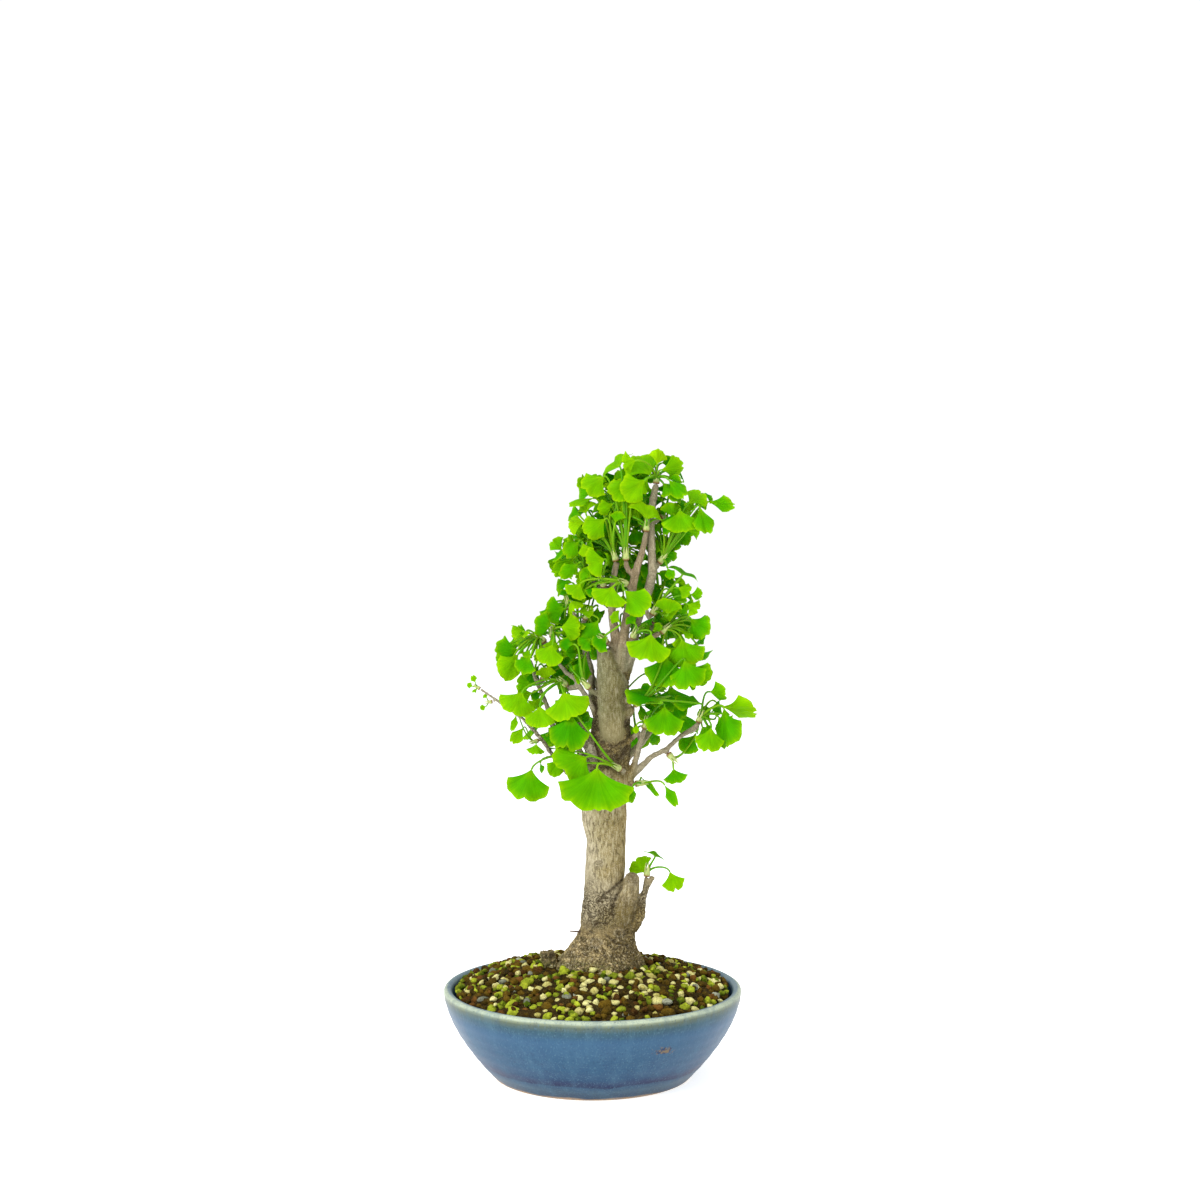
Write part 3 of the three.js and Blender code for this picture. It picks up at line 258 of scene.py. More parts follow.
class Finish:
    """A procedural material under construction."""

    def __init__(self, name, **constants):
        self.material = bpy.data.materials.new(name)
        self.material.use_nodes = True
        self.nodes = self.material.node_tree.nodes
        self.links = self.material.node_tree.links
        self.shader = self.nodes["Principled BSDF"]
        self.place = self.add("TexCoord", "Object")
        self.set(**constants)

    def feed(self, socket, value):
        if isinstance(value, bpy.types.NodeSocket):
            self.links.new(value, socket)
        else:
            socket.default_value = value

    def add(self, kind, output, inputs=None, **settings):
        node = self.nodes.new("ShaderNode" + kind)
        for key, value in settings.items():
            setattr(node, key, value)
        for socket, value in (inputs or {}).items():
            self.feed(node.inputs[socket], value)
        return node.outputs[output]

    def set(self, **values):
        for socket, value in values.items():
            self.feed(self.shader.inputs[socket.replace("_", " ")], value)

    def stretched(self, stretch, vector=None):
        inputs = {"Vector": vector or self.place, "Scale": stretch}
        return self.add("Mapping", "Vector", inputs)

    def noise(self, scale, detail=3, roughness=0.55, vector=None, distortion=0.0):
        inputs = {"Vector": vector or self.place, "Scale": scale, "Detail": detail, "Roughness": roughness}
        return self.add("TexNoise", 0, inputs | {"Distortion": distortion})

    def maths(self, operation, first, second=0.0):
        return self.add("Math", 0, {0: first, 1: second}, operation=operation)

    def product(self, first, second):
        return self.maths("MULTIPLY", first, second)

    def strongest(self, first, *others):
        for other in others:
            first = self.maths("MAXIMUM", first, other)
        return first

    def off_middle(self, value):
        """How far noise is from its middle value, which makes lines of its zero crossings."""
        return self.maths("ABSOLUTE", self.maths("SUBTRACT", value, 0.5))

    def between(self, value, low, high, to_low=0.0, to_high=1.0):
        inputs = {0: value, 1: low, 2: high, 3: to_low, 4: to_high}
        return self.add("MapRange", 0, inputs)

    def length(self, vector):
        return self.add("VectorMath", "Value", {0: vector}, operation="LENGTH")

    def blend(self, factor, low, high, how="MIX"):
        node = self.nodes.new("ShaderNodeMix")
        node.data_type = "RGBA"
        node.blend_type = how
        for socket, value in ((0, factor), (6, low), (7, high)):
            self.feed(node.inputs[socket], value)
        return node.outputs[2]

    def flecked(self, colour, pattern, low, high, most, tint, how="MIX"):
        """A colour with a tint showing through, up to a share, as a pattern goes from low to high."""
        return self.blend(self.between(pattern, low, high, 0, most), colour, tint, how)

    def ramp(self, value, stops):
        node = self.nodes.new("ShaderNodeValToRGB")
        self.feed(node.inputs[0], value)
        elements = node.color_ramp.elements
        while len(elements) < len(stops):
            elements.new(0.5)
        for element, (position, colour) in zip(elements, stops):
            element.position = position
            element.color = linear(*colour)
        return node.outputs[0]

    def attribute(self, name):
        return self.add("Attribute", "Color", attribute_name=name)

    def bump(self, height, distance, strength=1.0, under=None):
        inputs = {"Height": height, "Distance": distance * MM, "Strength": strength}
        if under is not None:
            inputs["Normal"] = under
        return self.add("Bump", 0, inputs)


# ---- the pot ------------------------------------------------------------------------------------

POT_SEGMENTS = 176
# The points that pull the wall's curves: [radius, height].
OUTER_BELLY = [(82.5, 16.5), (97, 36)]
INNER_BELLY = [(91, 36), (76, 16)]
# The glaze up the wall, from the bare ring of the foot to the lip: [share of the height, colour].
# The palest stops paint the lip's highlight as a pale band.
GLAZE_STOPS = [
    (0.0, (168, 140, 108)), (0.018, (140, 118, 92)), (0.03, (36, 58, 80)), (0.12, (46, 76, 96)),
    (0.178, (40, 70, 97)), (0.195, (8, 26, 66)), (0.23, (12, 34, 74)), (0.3, (34, 67, 97)),
    (0.42, (39, 75, 104)), (0.78, (42, 77, 104)), (0.87, (50, 80, 92)), (0.93, (84, 96, 80)),
    # Painted highlight: the pale band at the top of the lip.
    (0.955, (124, 134, 110)), (0.975, (178, 190, 166)),
]
FLAW_X, FLAW_Z = 44.9, 36.0
FLAW_HALF_WIDTH, FLAW_HALF_HEIGHT = 7.5, 3.1
WHEEL_MARK = 0.12
UNEVENNESS = 0.28


def flaw_share(glaze):
    """1 in a small ragged flaw on the front of the glaze, and 0 elsewhere."""
    half = np.array([FLAW_HALF_WIDTH, FLAW_HALF_HEIGHT]) * MM
    aside = glaze.add(
        "Mapping", "Vector",
        {
            "Vector": glaze.place,
            "Location": (-FLAW_X * MM / half[0], 0, -FLAW_Z * MM / half[1]),
            "Scale": (1 / half[0], 0, 1 / half[1]),
        },
    )
    ragged = glaze.maths("ADD", glaze.length(aside), glaze.between(glaze.noise(520, 4), 0, 1, -1.1, 1.1))
    front = glaze.between(glaze.add("SeparateXYZ", "Y", {0: glaze.place}), -0.05, -0.04, 1, 0)
    return glaze.product(glaze.between(ragged, 0.9, 0.5), front)


def glaze_finish():
    """Satin blue glaze: a painted highlight as a pale lip, a wavy line where it ran, and vertical speckle and
    streaks.
    """
    glaze = Finish("blue_glaze", Coat_Weight=0.03, Coat_Roughness=0.25, Specular_IOR_Level=0.16)
    share = glaze.between(glaze.add("SeparateXYZ", "Z", {0: glaze.place}), 0, POT_HEIGHT * MM)
    runs = glaze.maths("SUBTRACT", glaze.noise(24, 2, vector=glaze.stretched((1, 1, 0.2))), 0.5)
    shift = glaze.product(runs, glaze.between(share, 0.05, 0.9, 0.11, 0.03))
    colour = glaze.ramp(glaze.maths("ADD", share, shift), GLAZE_STOPS)
    streaks = glaze.noise(110, 5, 0.65, vector=glaze.stretched((1, 1, 0.09)))
    deep = glaze.noise(80, 4, 0.6, vector=glaze.stretched((1, 1, 0.12)))
    speckle = glaze.noise(1000, 2, vector=glaze.stretched((1, 1, 0.5)))
    colour = glaze.flecked(colour, streaks, 0.45, 0.7, 0.34, linear(74, 110, 132))
    colour = glaze.flecked(colour, deep, 0.48, 0.75, 0.5, linear(36, 64, 96))
    colour = glaze.flecked(colour, speckle, 0.56, 0.7, 0.45, linear(82, 116, 134))
    colour = glaze.flecked(colour, glaze.noise(700, 2), 0.6, 0.72, 0.55, linear(28, 48, 72))
    flat = glaze.add("VectorMath", "Vector", {0: glaze.place, 1: (1, 1, 0)}, operation="MULTIPLY")
    inward = glaze.between(glaze.length(flat), (RIM_RADIUS - 1.6) * MM, (RIM_RADIUS - 3.0) * MM)
    inside = glaze.product(inward, glaze.between(share, 0.5, 0.9))
    colour = glaze.blend(inside, colour, glaze.blend(0.7, colour, linear(56, 92, 124)))
    rust = glaze.flecked(linear(104, 90, 70), glaze.noise(500, 2), 0.42, 0.58, 1, linear(34, 52, 82))
    glaze.set(Base_Color=glaze.blend(flaw_share(glaze), colour, rust))
    glaze.set(Roughness=glaze.between(streaks, 0.3, 0.8, 0.32, 0.46))
    dimples = glaze.bump(glaze.noise(260, 4), 0.25, 0.3)
    glaze.set(Normal=glaze.bump(streaks, 0.2, 0.3, dimples))
    return glaze.material


def bezier(points, count):
    share = np.linspace(0, 1, count + 1)[:, None]
    weights = [(1 - share) ** 3, 3 * share * (1 - share) ** 2, 3 * share**2 * (1 - share), share**3]
    return sum(weight * np.array(point, float) for weight, point in zip(weights, points))


def pot_profile():
    """The pot's section from the middle of its foot round the lip to the middle of its floor."""
    foot = [(FOOT_RADIUS - 6, 0), (FOOT_RADIUS - 0.4, 0), (FOOT_RADIUS + 0.4, 0.25)]
    foot_edge = (FOOT_RADIUS + FOOT_BEVEL, FOOT_BEVEL)
    outer = bezier([foot_edge, *OUTER_BELLY, (RIM_RADIUS, LIP_HEIGHT)], 26)
    lip_turn = np.linspace(0, math.pi, 11)[1:-1, None]
    lip_centre = np.array([RIM_RADIUS - LIP_RADIUS, LIP_HEIGHT])
    lip = lip_centre + LIP_RADIUS * np.hstack([np.cos(lip_turn), np.sin(lip_turn)])
    inner = bezier([(MOUTH_RADIUS, LIP_HEIGHT), *INNER_BELLY, (INNER_FLOOR_RADIUS, FLOOR_TOP)], 12)
    return np.vstack([foot, outer, lip, inner])


def lathe(profile, segments):
    """Points and faces of a section turned about the pot's axis, with a point on the axis at both ends."""
    turn = np.arange(segments) / segments * 2 * math.pi
    radius, height = profile[:, :1], profile[:, 1:]
    rings = np.stack([radius * np.cos(turn), radius * np.sin(turn), height + 0 * turn], axis=-1)
    points = np.vstack([rings.reshape(-1, 3), [[0, 0, profile[0][1]], [0, 0, profile[-1][1]]]])
    low, high = len(points) - 2, len(points) - 1
    last = low - segments
    faces = []
    for k in range(segments):
        after = (k + 1) % segments
        faces.append((low, after, k))
        for first in range(0, last, segments):
            faces.append((first + k, first + after, first + segments + after, first + segments + k))
        faces.append((high, last + k, last + after))
    return points, faces


def wheel_marks(points):
    """The points with the faint rings and unevenness that a thrown and glazed wall keeps."""
    radius = np.hypot(points[:, 0], points[:, 1])
    swell = WHEEL_MARK * np.sin(points[:, 2] * 0.9) + UNEVENNESS * noise_of(points, 0.035, 4.0)
    scale = 1 + swell * smoothstep(1, 6, points[:, 2]) / np.maximum(radius, 1)
    return points * np.stack([scale, scale, np.ones_like(scale)], axis=1)


def pot_cutters():
    """The shapes of the drain holes and of the water channels that run out from them below the foot."""
    length = FOOT_RADIUS + 3 * FOOT_BEVEL - DRAIN_X
    cutters = []
    for side in (-1, 1):
        at = (side * DRAIN_X * MM, 0, 0)
        bpy.ops.mesh.primitive_cylinder_add(
            radius=DRAIN_RADIUS * MM, depth=6 * FLOOR_TOP * MM, vertices=48, location=at
        )
        cutters.append(bpy.context.object)
        bpy.ops.mesh.primitive_cube_add(size=1, location=(side * (DRAIN_X + length / 2) * MM, 0, 0))
        bpy.context.object.scale = (length * MM, CHANNEL_WIDTH * MM, 2 * CHANNEL_DEPTH * MM)
        cutters.append(bpy.context.object)
    return cutters


def make_pot():
    points, faces = lathe(pot_profile(), POT_SEGMENTS)
    pot = mesh_object("pot_glazed", wheel_marks(points), faces, [glaze_finish()])
    cutters = pot_cutters()
    cuts = [{"operation": "DIFFERENCE", "solver": "EXACT", "object": cutter} for cutter in cutters]
    modified(pot, *(("BOOLEAN", cut) for cut in cuts))
    for cutter in cutters:
        bpy.data.objects.remove(cutter)
    pot.data.set_sharp_from_angle(angle=math.radians(50))
    finished(pot, "glaze", "pot")


def dress_screens():
    plastic = Finish("screen_plastic", Roughness=0.6)
    grain = plastic.noise(1500, 3)
    plastic.set(Base_Color=plastic.ramp(grain, [(0.3, (30, 33, 30)), (0.7, (54, 56, 52))]))
    plastic.set(Normal=plastic.bump(grain, 0.1, 0.4))
    for node in ("drain_screen_left", "drain_screen_right"):
        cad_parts[node].data.materials.clear()
        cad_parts[node].data.materials.append(plastic.material)


# ---- the soil -----------------------------------------------------------------------------------

GRAIN_TRIES = 14000
LEAST_GRAIN = 4.4
MOST_GRAIN = 8.8
GRAIN_SPACING = 0.41  # of the sum of two neighbours' sizes
LOOSE_GRAINS = 460
GRAIN_SWELL = 1.12
GRAIN_LUMPS = 0.34
GRAIN_CORNERS = 0.22
MOST_TURN = 6.3
MOST_TIP = 1.6
# The mix: [share of the grains, dark colour, light colour] of each kind of grain.
GRAIN_KINDS = {
    "humus": (0.43, (36, 26, 2), (104, 80, 16)),
    "lava": (0.1, (58, 34, 8), (120, 80, 30)),
    "algae": (0.26, (62, 84, 2), (182, 194, 50)),
    "pumice": (0.17, (186, 176, 92), (240, 235, 162)),
    "grit": (0.04, (100, 104, 88), (168, 172, 150)),
}


def mound_height(radius):
    return SOIL_CROWN + (LIP_HEIGHT - SOIL_CROWN) * (radius / MOUTH_RADIUS) ** 2


def grit_finish(name):
    grit = Finish(name, Roughness=0.92, Specular_IOR_Level=0.1)
    mottle = grit.noise(900, 4, 0.65)
    dark = grit.blend(grit.between(mottle, 0.3, 0.5, 0.7, 0), grit.attribute("grain"), linear(24, 18, 4))
    pale = grit.flecked(dark, grit.noise(1900, 3), 0.58, 0.75, 0.3, linear(206, 196, 110))
    pores = grit.bump(grit.noise(2200, 3, 0.7), 0.35, 0.6)
    grit.set(Base_Color=pale, Normal=grit.bump(mottle, 0.7, 0.6, pores))
    return grit.material


def grain_template():
    """Points and faces of a plain ball that each grain is shaped from."""
    shape = bmesh.new()
    bmesh.ops.create_icosphere(shape, subdivisions=2, radius=0.5)
    shape.verts.ensure_lookup_table()
    points = np.array([vert.co[:] for vert in shape.verts])
    faces = np.array([[vert.index for vert in face.verts] for face in shape.faces])
    shape.free()
    return points, faces


def somewhere(rng, reach):
    """A random place on a disc: x, y and the radius."""
    radius = reach * math.sqrt(rng.random())
    turn = rng.random() * 2 * math.pi
    return radius * math.cos(turn), radius * math.sin(turn), radius


def grain_spots(rng, clear_of_wood):
    """Where grains lie: [x, y, z, size], the bed first and then the loose grains on top of it."""
    spots = []
    taken = np.empty((0, 3))
    for _ in range(GRAIN_TRIES):
        size = LEAST_GRAIN + (MOST_GRAIN - LEAST_GRAIN) * rng.random() ** 1.4
        x, y, radius = somewhere(rng, MOUTH_RADIUS - 0.5 * size - 0.2)
        apart = np.hypot(taken[:, 0] - x, taken[:, 1] - y)
        if np.any(apart < GRAIN_SPACING * (taken[:, 2] + size)):
            continue
        spot = (x, y, mound_height(radius) - 0.05 * size + 1.1 * (rng.random() - 0.5), size)
        if clear_of_wood(spot):
            taken = np.vstack([taken, [x, y, size]])
            spots.append(spot)
    for _ in range(LOOSE_GRAINS):
        size = 0.8 * LEAST_GRAIN + 2.2 * rng.random()
        x, y, radius = somewhere(rng, MOUTH_RADIUS - 0.6 * size - 1)
        spot = (x, y, mound_height(radius) + 1.2 + 1.0 * rng.random(), size)
        if clear_of_wood(spot):
            spots.append(spot)
    return spots


def grain_kind(rng, spot):
    """The kind of grain at a spot: pale grains gather in front of the tree, algae in patches."""
    x, y, _, _ = spot
    in_front = math.exp(-(((x - 8) / 26) ** 2) - (((y + 52) / 30) ** 2))
    patch = 0.5 + 0.5 * noise.noise(Vector((x * 0.03, y * 0.03, 7.3)))
    weights = {kind: share for kind, (share, _, _) in GRAIN_KINDS.items()}
    weights["pumice"] *= 0.7 + 2.6 * in_front
    weights["algae"] *= 0.4 + 1.3 * patch
    return rng.choices(list(weights), list(weights.values()))[0]


def grain_mesh(rng, spot, template, seed):
    """One grain: its points, and a colour for each that is lighter on its lumps."""
    _, dark, light = GRAIN_KINDS[grain_kind(rng, spot)]
    lumps = np.array([noise.noise(Vector(point * 2.3 + seed)) for point in template])
    corners = np.array([noise.cell(Vector(point * 3.1 + seed)) for point in template])
    shape = template * (1 + GRAIN_LUMPS * lumps + GRAIN_CORNERS * (corners - 0.5))[:, None]
    shape = shape * [1, 0.72 + 0.28 * rng.random(), 0.6 + 0.3 * rng.random()]
    turn = Matrix.Rotation(rng.random() * MOST_TURN, 3, "Z")
    tipped = turn @ Matrix.Rotation((rng.random() - 0.5) * MOST_TIP, 3, "X")
    shape = shape @ np.array(tipped).T * spot[3] * GRAIN_SWELL + np.array(spot[:3])
    return shape, mixed(linear(*dark), linear(*light), np.clip(rng.random() + 0.5 * lumps, 0, 1))


def make_soil(clear_of_wood):
    bed = welded_copy("soil", "soil_bed")
    modified(bed, ("SUBSURF", {"levels": 1}))
    crumbs = np.clip(0.5 + 0.5 * rough_noise_of(points_of(bed), 0.25, 3, 5.0), 0, 1)
    colour_points(bed, "grain", mixed(linear(22, 15, 3), linear(66, 48, 14), crumbs))
    dress(bed, grit_finish("soil_bed"))
    finished(bed, "soil", "soil")

    rng = random.Random(11)
    template, faces = grain_template()
    spots = grain_spots(rng, clear_of_wood)
    shapes, colours = zip(*(grain_mesh(rng, spot, template, k * 3.17) for k, spot in enumerate(spots)))
    all_faces = np.vstack([faces + k * len(template) for k in range(len(spots))])
    grains = mesh_object("soil_grains", np.vstack(shapes), all_faces.tolist(), [grit_finish("soil_grains")])
    colour_points(grains, "grain", np.vstack(colours))
    finished(grains, "soil", "soil")


# ---- the tree's wood ----------------------------------------------------------------------------

VOXEL = 0.62
KEPT_SHARE = 0.6  # of the wood's faces, once its bark is shaped
# The trunk's outline: [height, left, right, front, back].
TRUNK = np.array(
    [
        [24, -8, 22, -14, 13], [56, -22, 31, -25, 21], [72, -26, 33.5, -28, 24], [82, -17, 29, -19, 18],
        [96, -8.2, 28.4, -15.2, 15], [118, -6.2, 23.6, -14, 14], [138, -4.5, 21.8, -13, 13.2],
        [170, -7.3, 22.3, -13.8, 13.8], [193, -4.6, 26, -13.2, 13.6], [224, -1, 25.7, -11, 12.4],
        [276, 4.4, 22.8, -6.5, 9.5], [290, 8, 20, -4, 6],
    ]
)
# Dark clefts in the bark, seen on the elevation: [half width, depth, *places across and up].
CREVICES = [
    (1.2, 1.2, (21, 129.5), (17, 125.5), (12, 121.5), (7.5, 118.5), (3.5, 114)),
    (0.8, 0.8, (20.5, 126), (17, 118), (13, 112), (14, 104)),
    (0.9, 0.8, (12, 271), (16, 269.5), (20, 272)),
    (0.9, 0.8, (27.5, 122), (28.5, 112), (27, 101)),
    (1.5, 1.3, (1, 203), (4.5, 211), (3, 219), (-3, 230)),
    (1.5, 1.2, (10, 205), (14.5, 212), (20, 211), (22.5, 218)),
    (1.0, 0.9, (6, 221), (13.5, 218.5), (21.5, 222)),
    (2.0, 1.4, (22.5, 233), (24, 241), (22.5, 248)),
    (0.7, 0.5, (2.6, 238), (2.2, 262), (2.6, 281)),
    (0.8, 0.7, (9, 92), (15, 86), (24, 84)),
    (0.8, 0.7, (-3, 92), (3, 100), (11, 99)),
]
# Knots: [across, up, half width, half height, rim's rise, middle's depth].
KNOTS = [
    (2.6, 86, 3.4, 3.2, 0.9, 1.1), (4.2, 140.5, 3.4, 2.0, 0.7, 0.9), (17.7, 93, 3.2, 2.4, 0.8, 0.2),
    (19.5, 181, 2.2, 1.6, 0.3, 0.4),
]
HAIR_TWIG = [(0, 93, -3), (-6, 93.4, -2), (-10.5, 93.9, -3), (-15.3, 94.2, -4)]
PALE_BARK = linear(179, 168, 138)
MID_BARK = linear(157, 144, 104)
BROWN_BARK = linear(146, 127, 74)
OCHRE_BARK = linear(224, 198, 138)
DARK_BARK = linear(62, 48, 30)
OLIVE_BARK = linear(112, 98, 50)
# The healed column's olive, darkened as painted shade from the foliage above.
SHADED_SMOOTH_BARK = linear(105, 101, 60)
GREY_BARK = linear(126, 129, 98)
# A darker bark in painted shade: it paints the shade behind the column and lies in random patches on the
# column and the upper trunk.
SHADED_BARK = linear(84, 76, 44)
TWIG_BARK = linear(170, 162, 138)
PINK_BARK = linear(150, 128, 96)
STUMP_FACE = linear(136, 122, 88)
MOSS = linear(126, 138, 44)
DRY_TWIG = linear(104, 76, 60)
# Where one kind of bark gives way to the next, going away from it: heights [from, to].
FOOT_ENDS = (106, 88)
CURLING_ENDS = (134, 118)
UPPER_STARTS = (199, 208)
COLUMN_STARTS = (219, 226)
COLUMN_ENDS = (287, 283.5)
LEADERS_START = (282, 290)
LEADERS_END = (368, 350)
STUMP_LINE = [(22, 104), (26.4, 128)]
CUT_MIDDLE = (26.3, 130.6)
CUT_HALF_WIDTH, CUT_HALF_HEIGHT = 4.1, 5.2


def bark_finish():
    """Bark of three kinds: short cracks up the trunk, curling flakes, and matted strands at the foot."""
    bark = Finish("bark", Roughness=0.92, Specular_IOR_Level=0.1)
    kinds = bark.attribute("kind")
    channels = ("Red", "Green", "Blue")
    cracked, curled, matted = (bark.add("SeparateColor", channel, {0: kinds}) for channel in channels)
    streaks = bark.noise(760, 5, 0.65, vector=bark.stretched((1, 1, 0.26)))
    cracks = bark.product(bark.between(streaks, 0.46, 0.37), cracked)
    ridges = bark.product(bark.between(streaks, 0.52, 0.64, 0, 0.3), cracked)
    curls = bark.off_middle(bark.noise(210, 2, 0.5, distortion=2.2))
    flakes = bark.product(bark.between(curls, 0.075, 0.02), curled)
    mat = bark.off_middle(bark.noise(340, 3, 0.6, distortion=2.6))
    gaps = bark.product(bark.between(mat, 0.05, 0.02), matted)
    strands = bark.product(bark.between(mat, 0.1, 0.2, 0, 0.55), matted)
    lines = bark.strongest(bark.product(cracks, 0.55), bark.product(gaps, 0.7), flakes)
    grain = bark.noise(1500, 4, 0.7)
    grained = bark.blend(bark.between(grain, 0.35, 0.7, 0.3, 0), bark.attribute("bark"), linear(96, 80, 52))
    coarse = bark.strongest(cracked, curled, matted)
    dust = bark.product(bark.between(grain, 0.5, 0.72, 0, 0.45), coarse)
    paler = bark.blend(bark.strongest(dust, strands, ridges), grained, linear(236, 228, 200))
    bark.set(Base_Color=bark.blend(bark.product(lines, 0.8), paler, linear(52, 39, 20)))
    bark.set(Normal=bark.bump(bark.maths("SUBTRACT", bark.product(grain, 0.35), lines), 0.8, 0.9))
    return bark.material


def off_line(across, up, line):
    """How far each point is from a broken line on the elevation."""
    nearest = np.full(len(across), np.inf)
    for (x0, z0), (x1, z1) in zip(line, line[1:]):
        run = np.array([x1 - x0, z1 - z0])
        share = np.clip(((across - x0) * run[0] + (up - z0) * run[1]) / (run @ run), 0, 1)
        nearest = np.minimum(nearest, np.hypot(across - x0 - share * run[0], up - z0 - share * run[1]))
    return nearest


def trunk_share(points):
    """1 on the trunk's skin and 0 on limbs that stand off it."""
    left, right, front, back = (np.interp(points[:, 2], TRUNK[:, 0], side) for side in TRUNK[:, 1:].T)
    off_x = (points[:, 0] - (left + right) / 2) / ((right - left) / 2)
    off_y = (points[:, 1] - (front + back) / 2) / ((back - front) / 2)
    return smoothstep(1.42, 1.12, np.hypot(off_x, off_y)) * smoothstep(288, 278, points[:, 2])


def curling_noise(points, scale, drift, seed):
    """Noise read at places that slower noise has carried off, so that its lines curl."""
    moved = [noise_of(points, 0.45 * scale, seed + 11.3 * axis) for axis in (1, 2, 3)]
    return noise_of(points + drift * np.stack(moved, axis=1), scale, seed)


def strand_noise(points, scale, seed):
    """Strands that run in all directions: stretched noise of four directions, each in its own patches."""
    run = (points[:, 0] + points[:, 1]) * 0.7
    height = points[:, 2]
    best = np.full(len(points), -np.inf)
    value = np.zeros(len(points))
    for k in range(4):
        angle = k * math.pi / 4 + 0.3
        along = run * math.cos(angle) + height * math.sin(angle)
        beside = height * math.cos(angle) - run * math.sin(angle)
        strand = noise_of(np.stack([0.16 * along, beside, 0.2 * points[:, 0]], axis=1), scale, seed + 5 * k)
        claim = noise_of(points, 0.13, seed + 31 * k)
        value = np.where(claim > best, strand, value)
        best = np.maximum(best, claim)
    return value


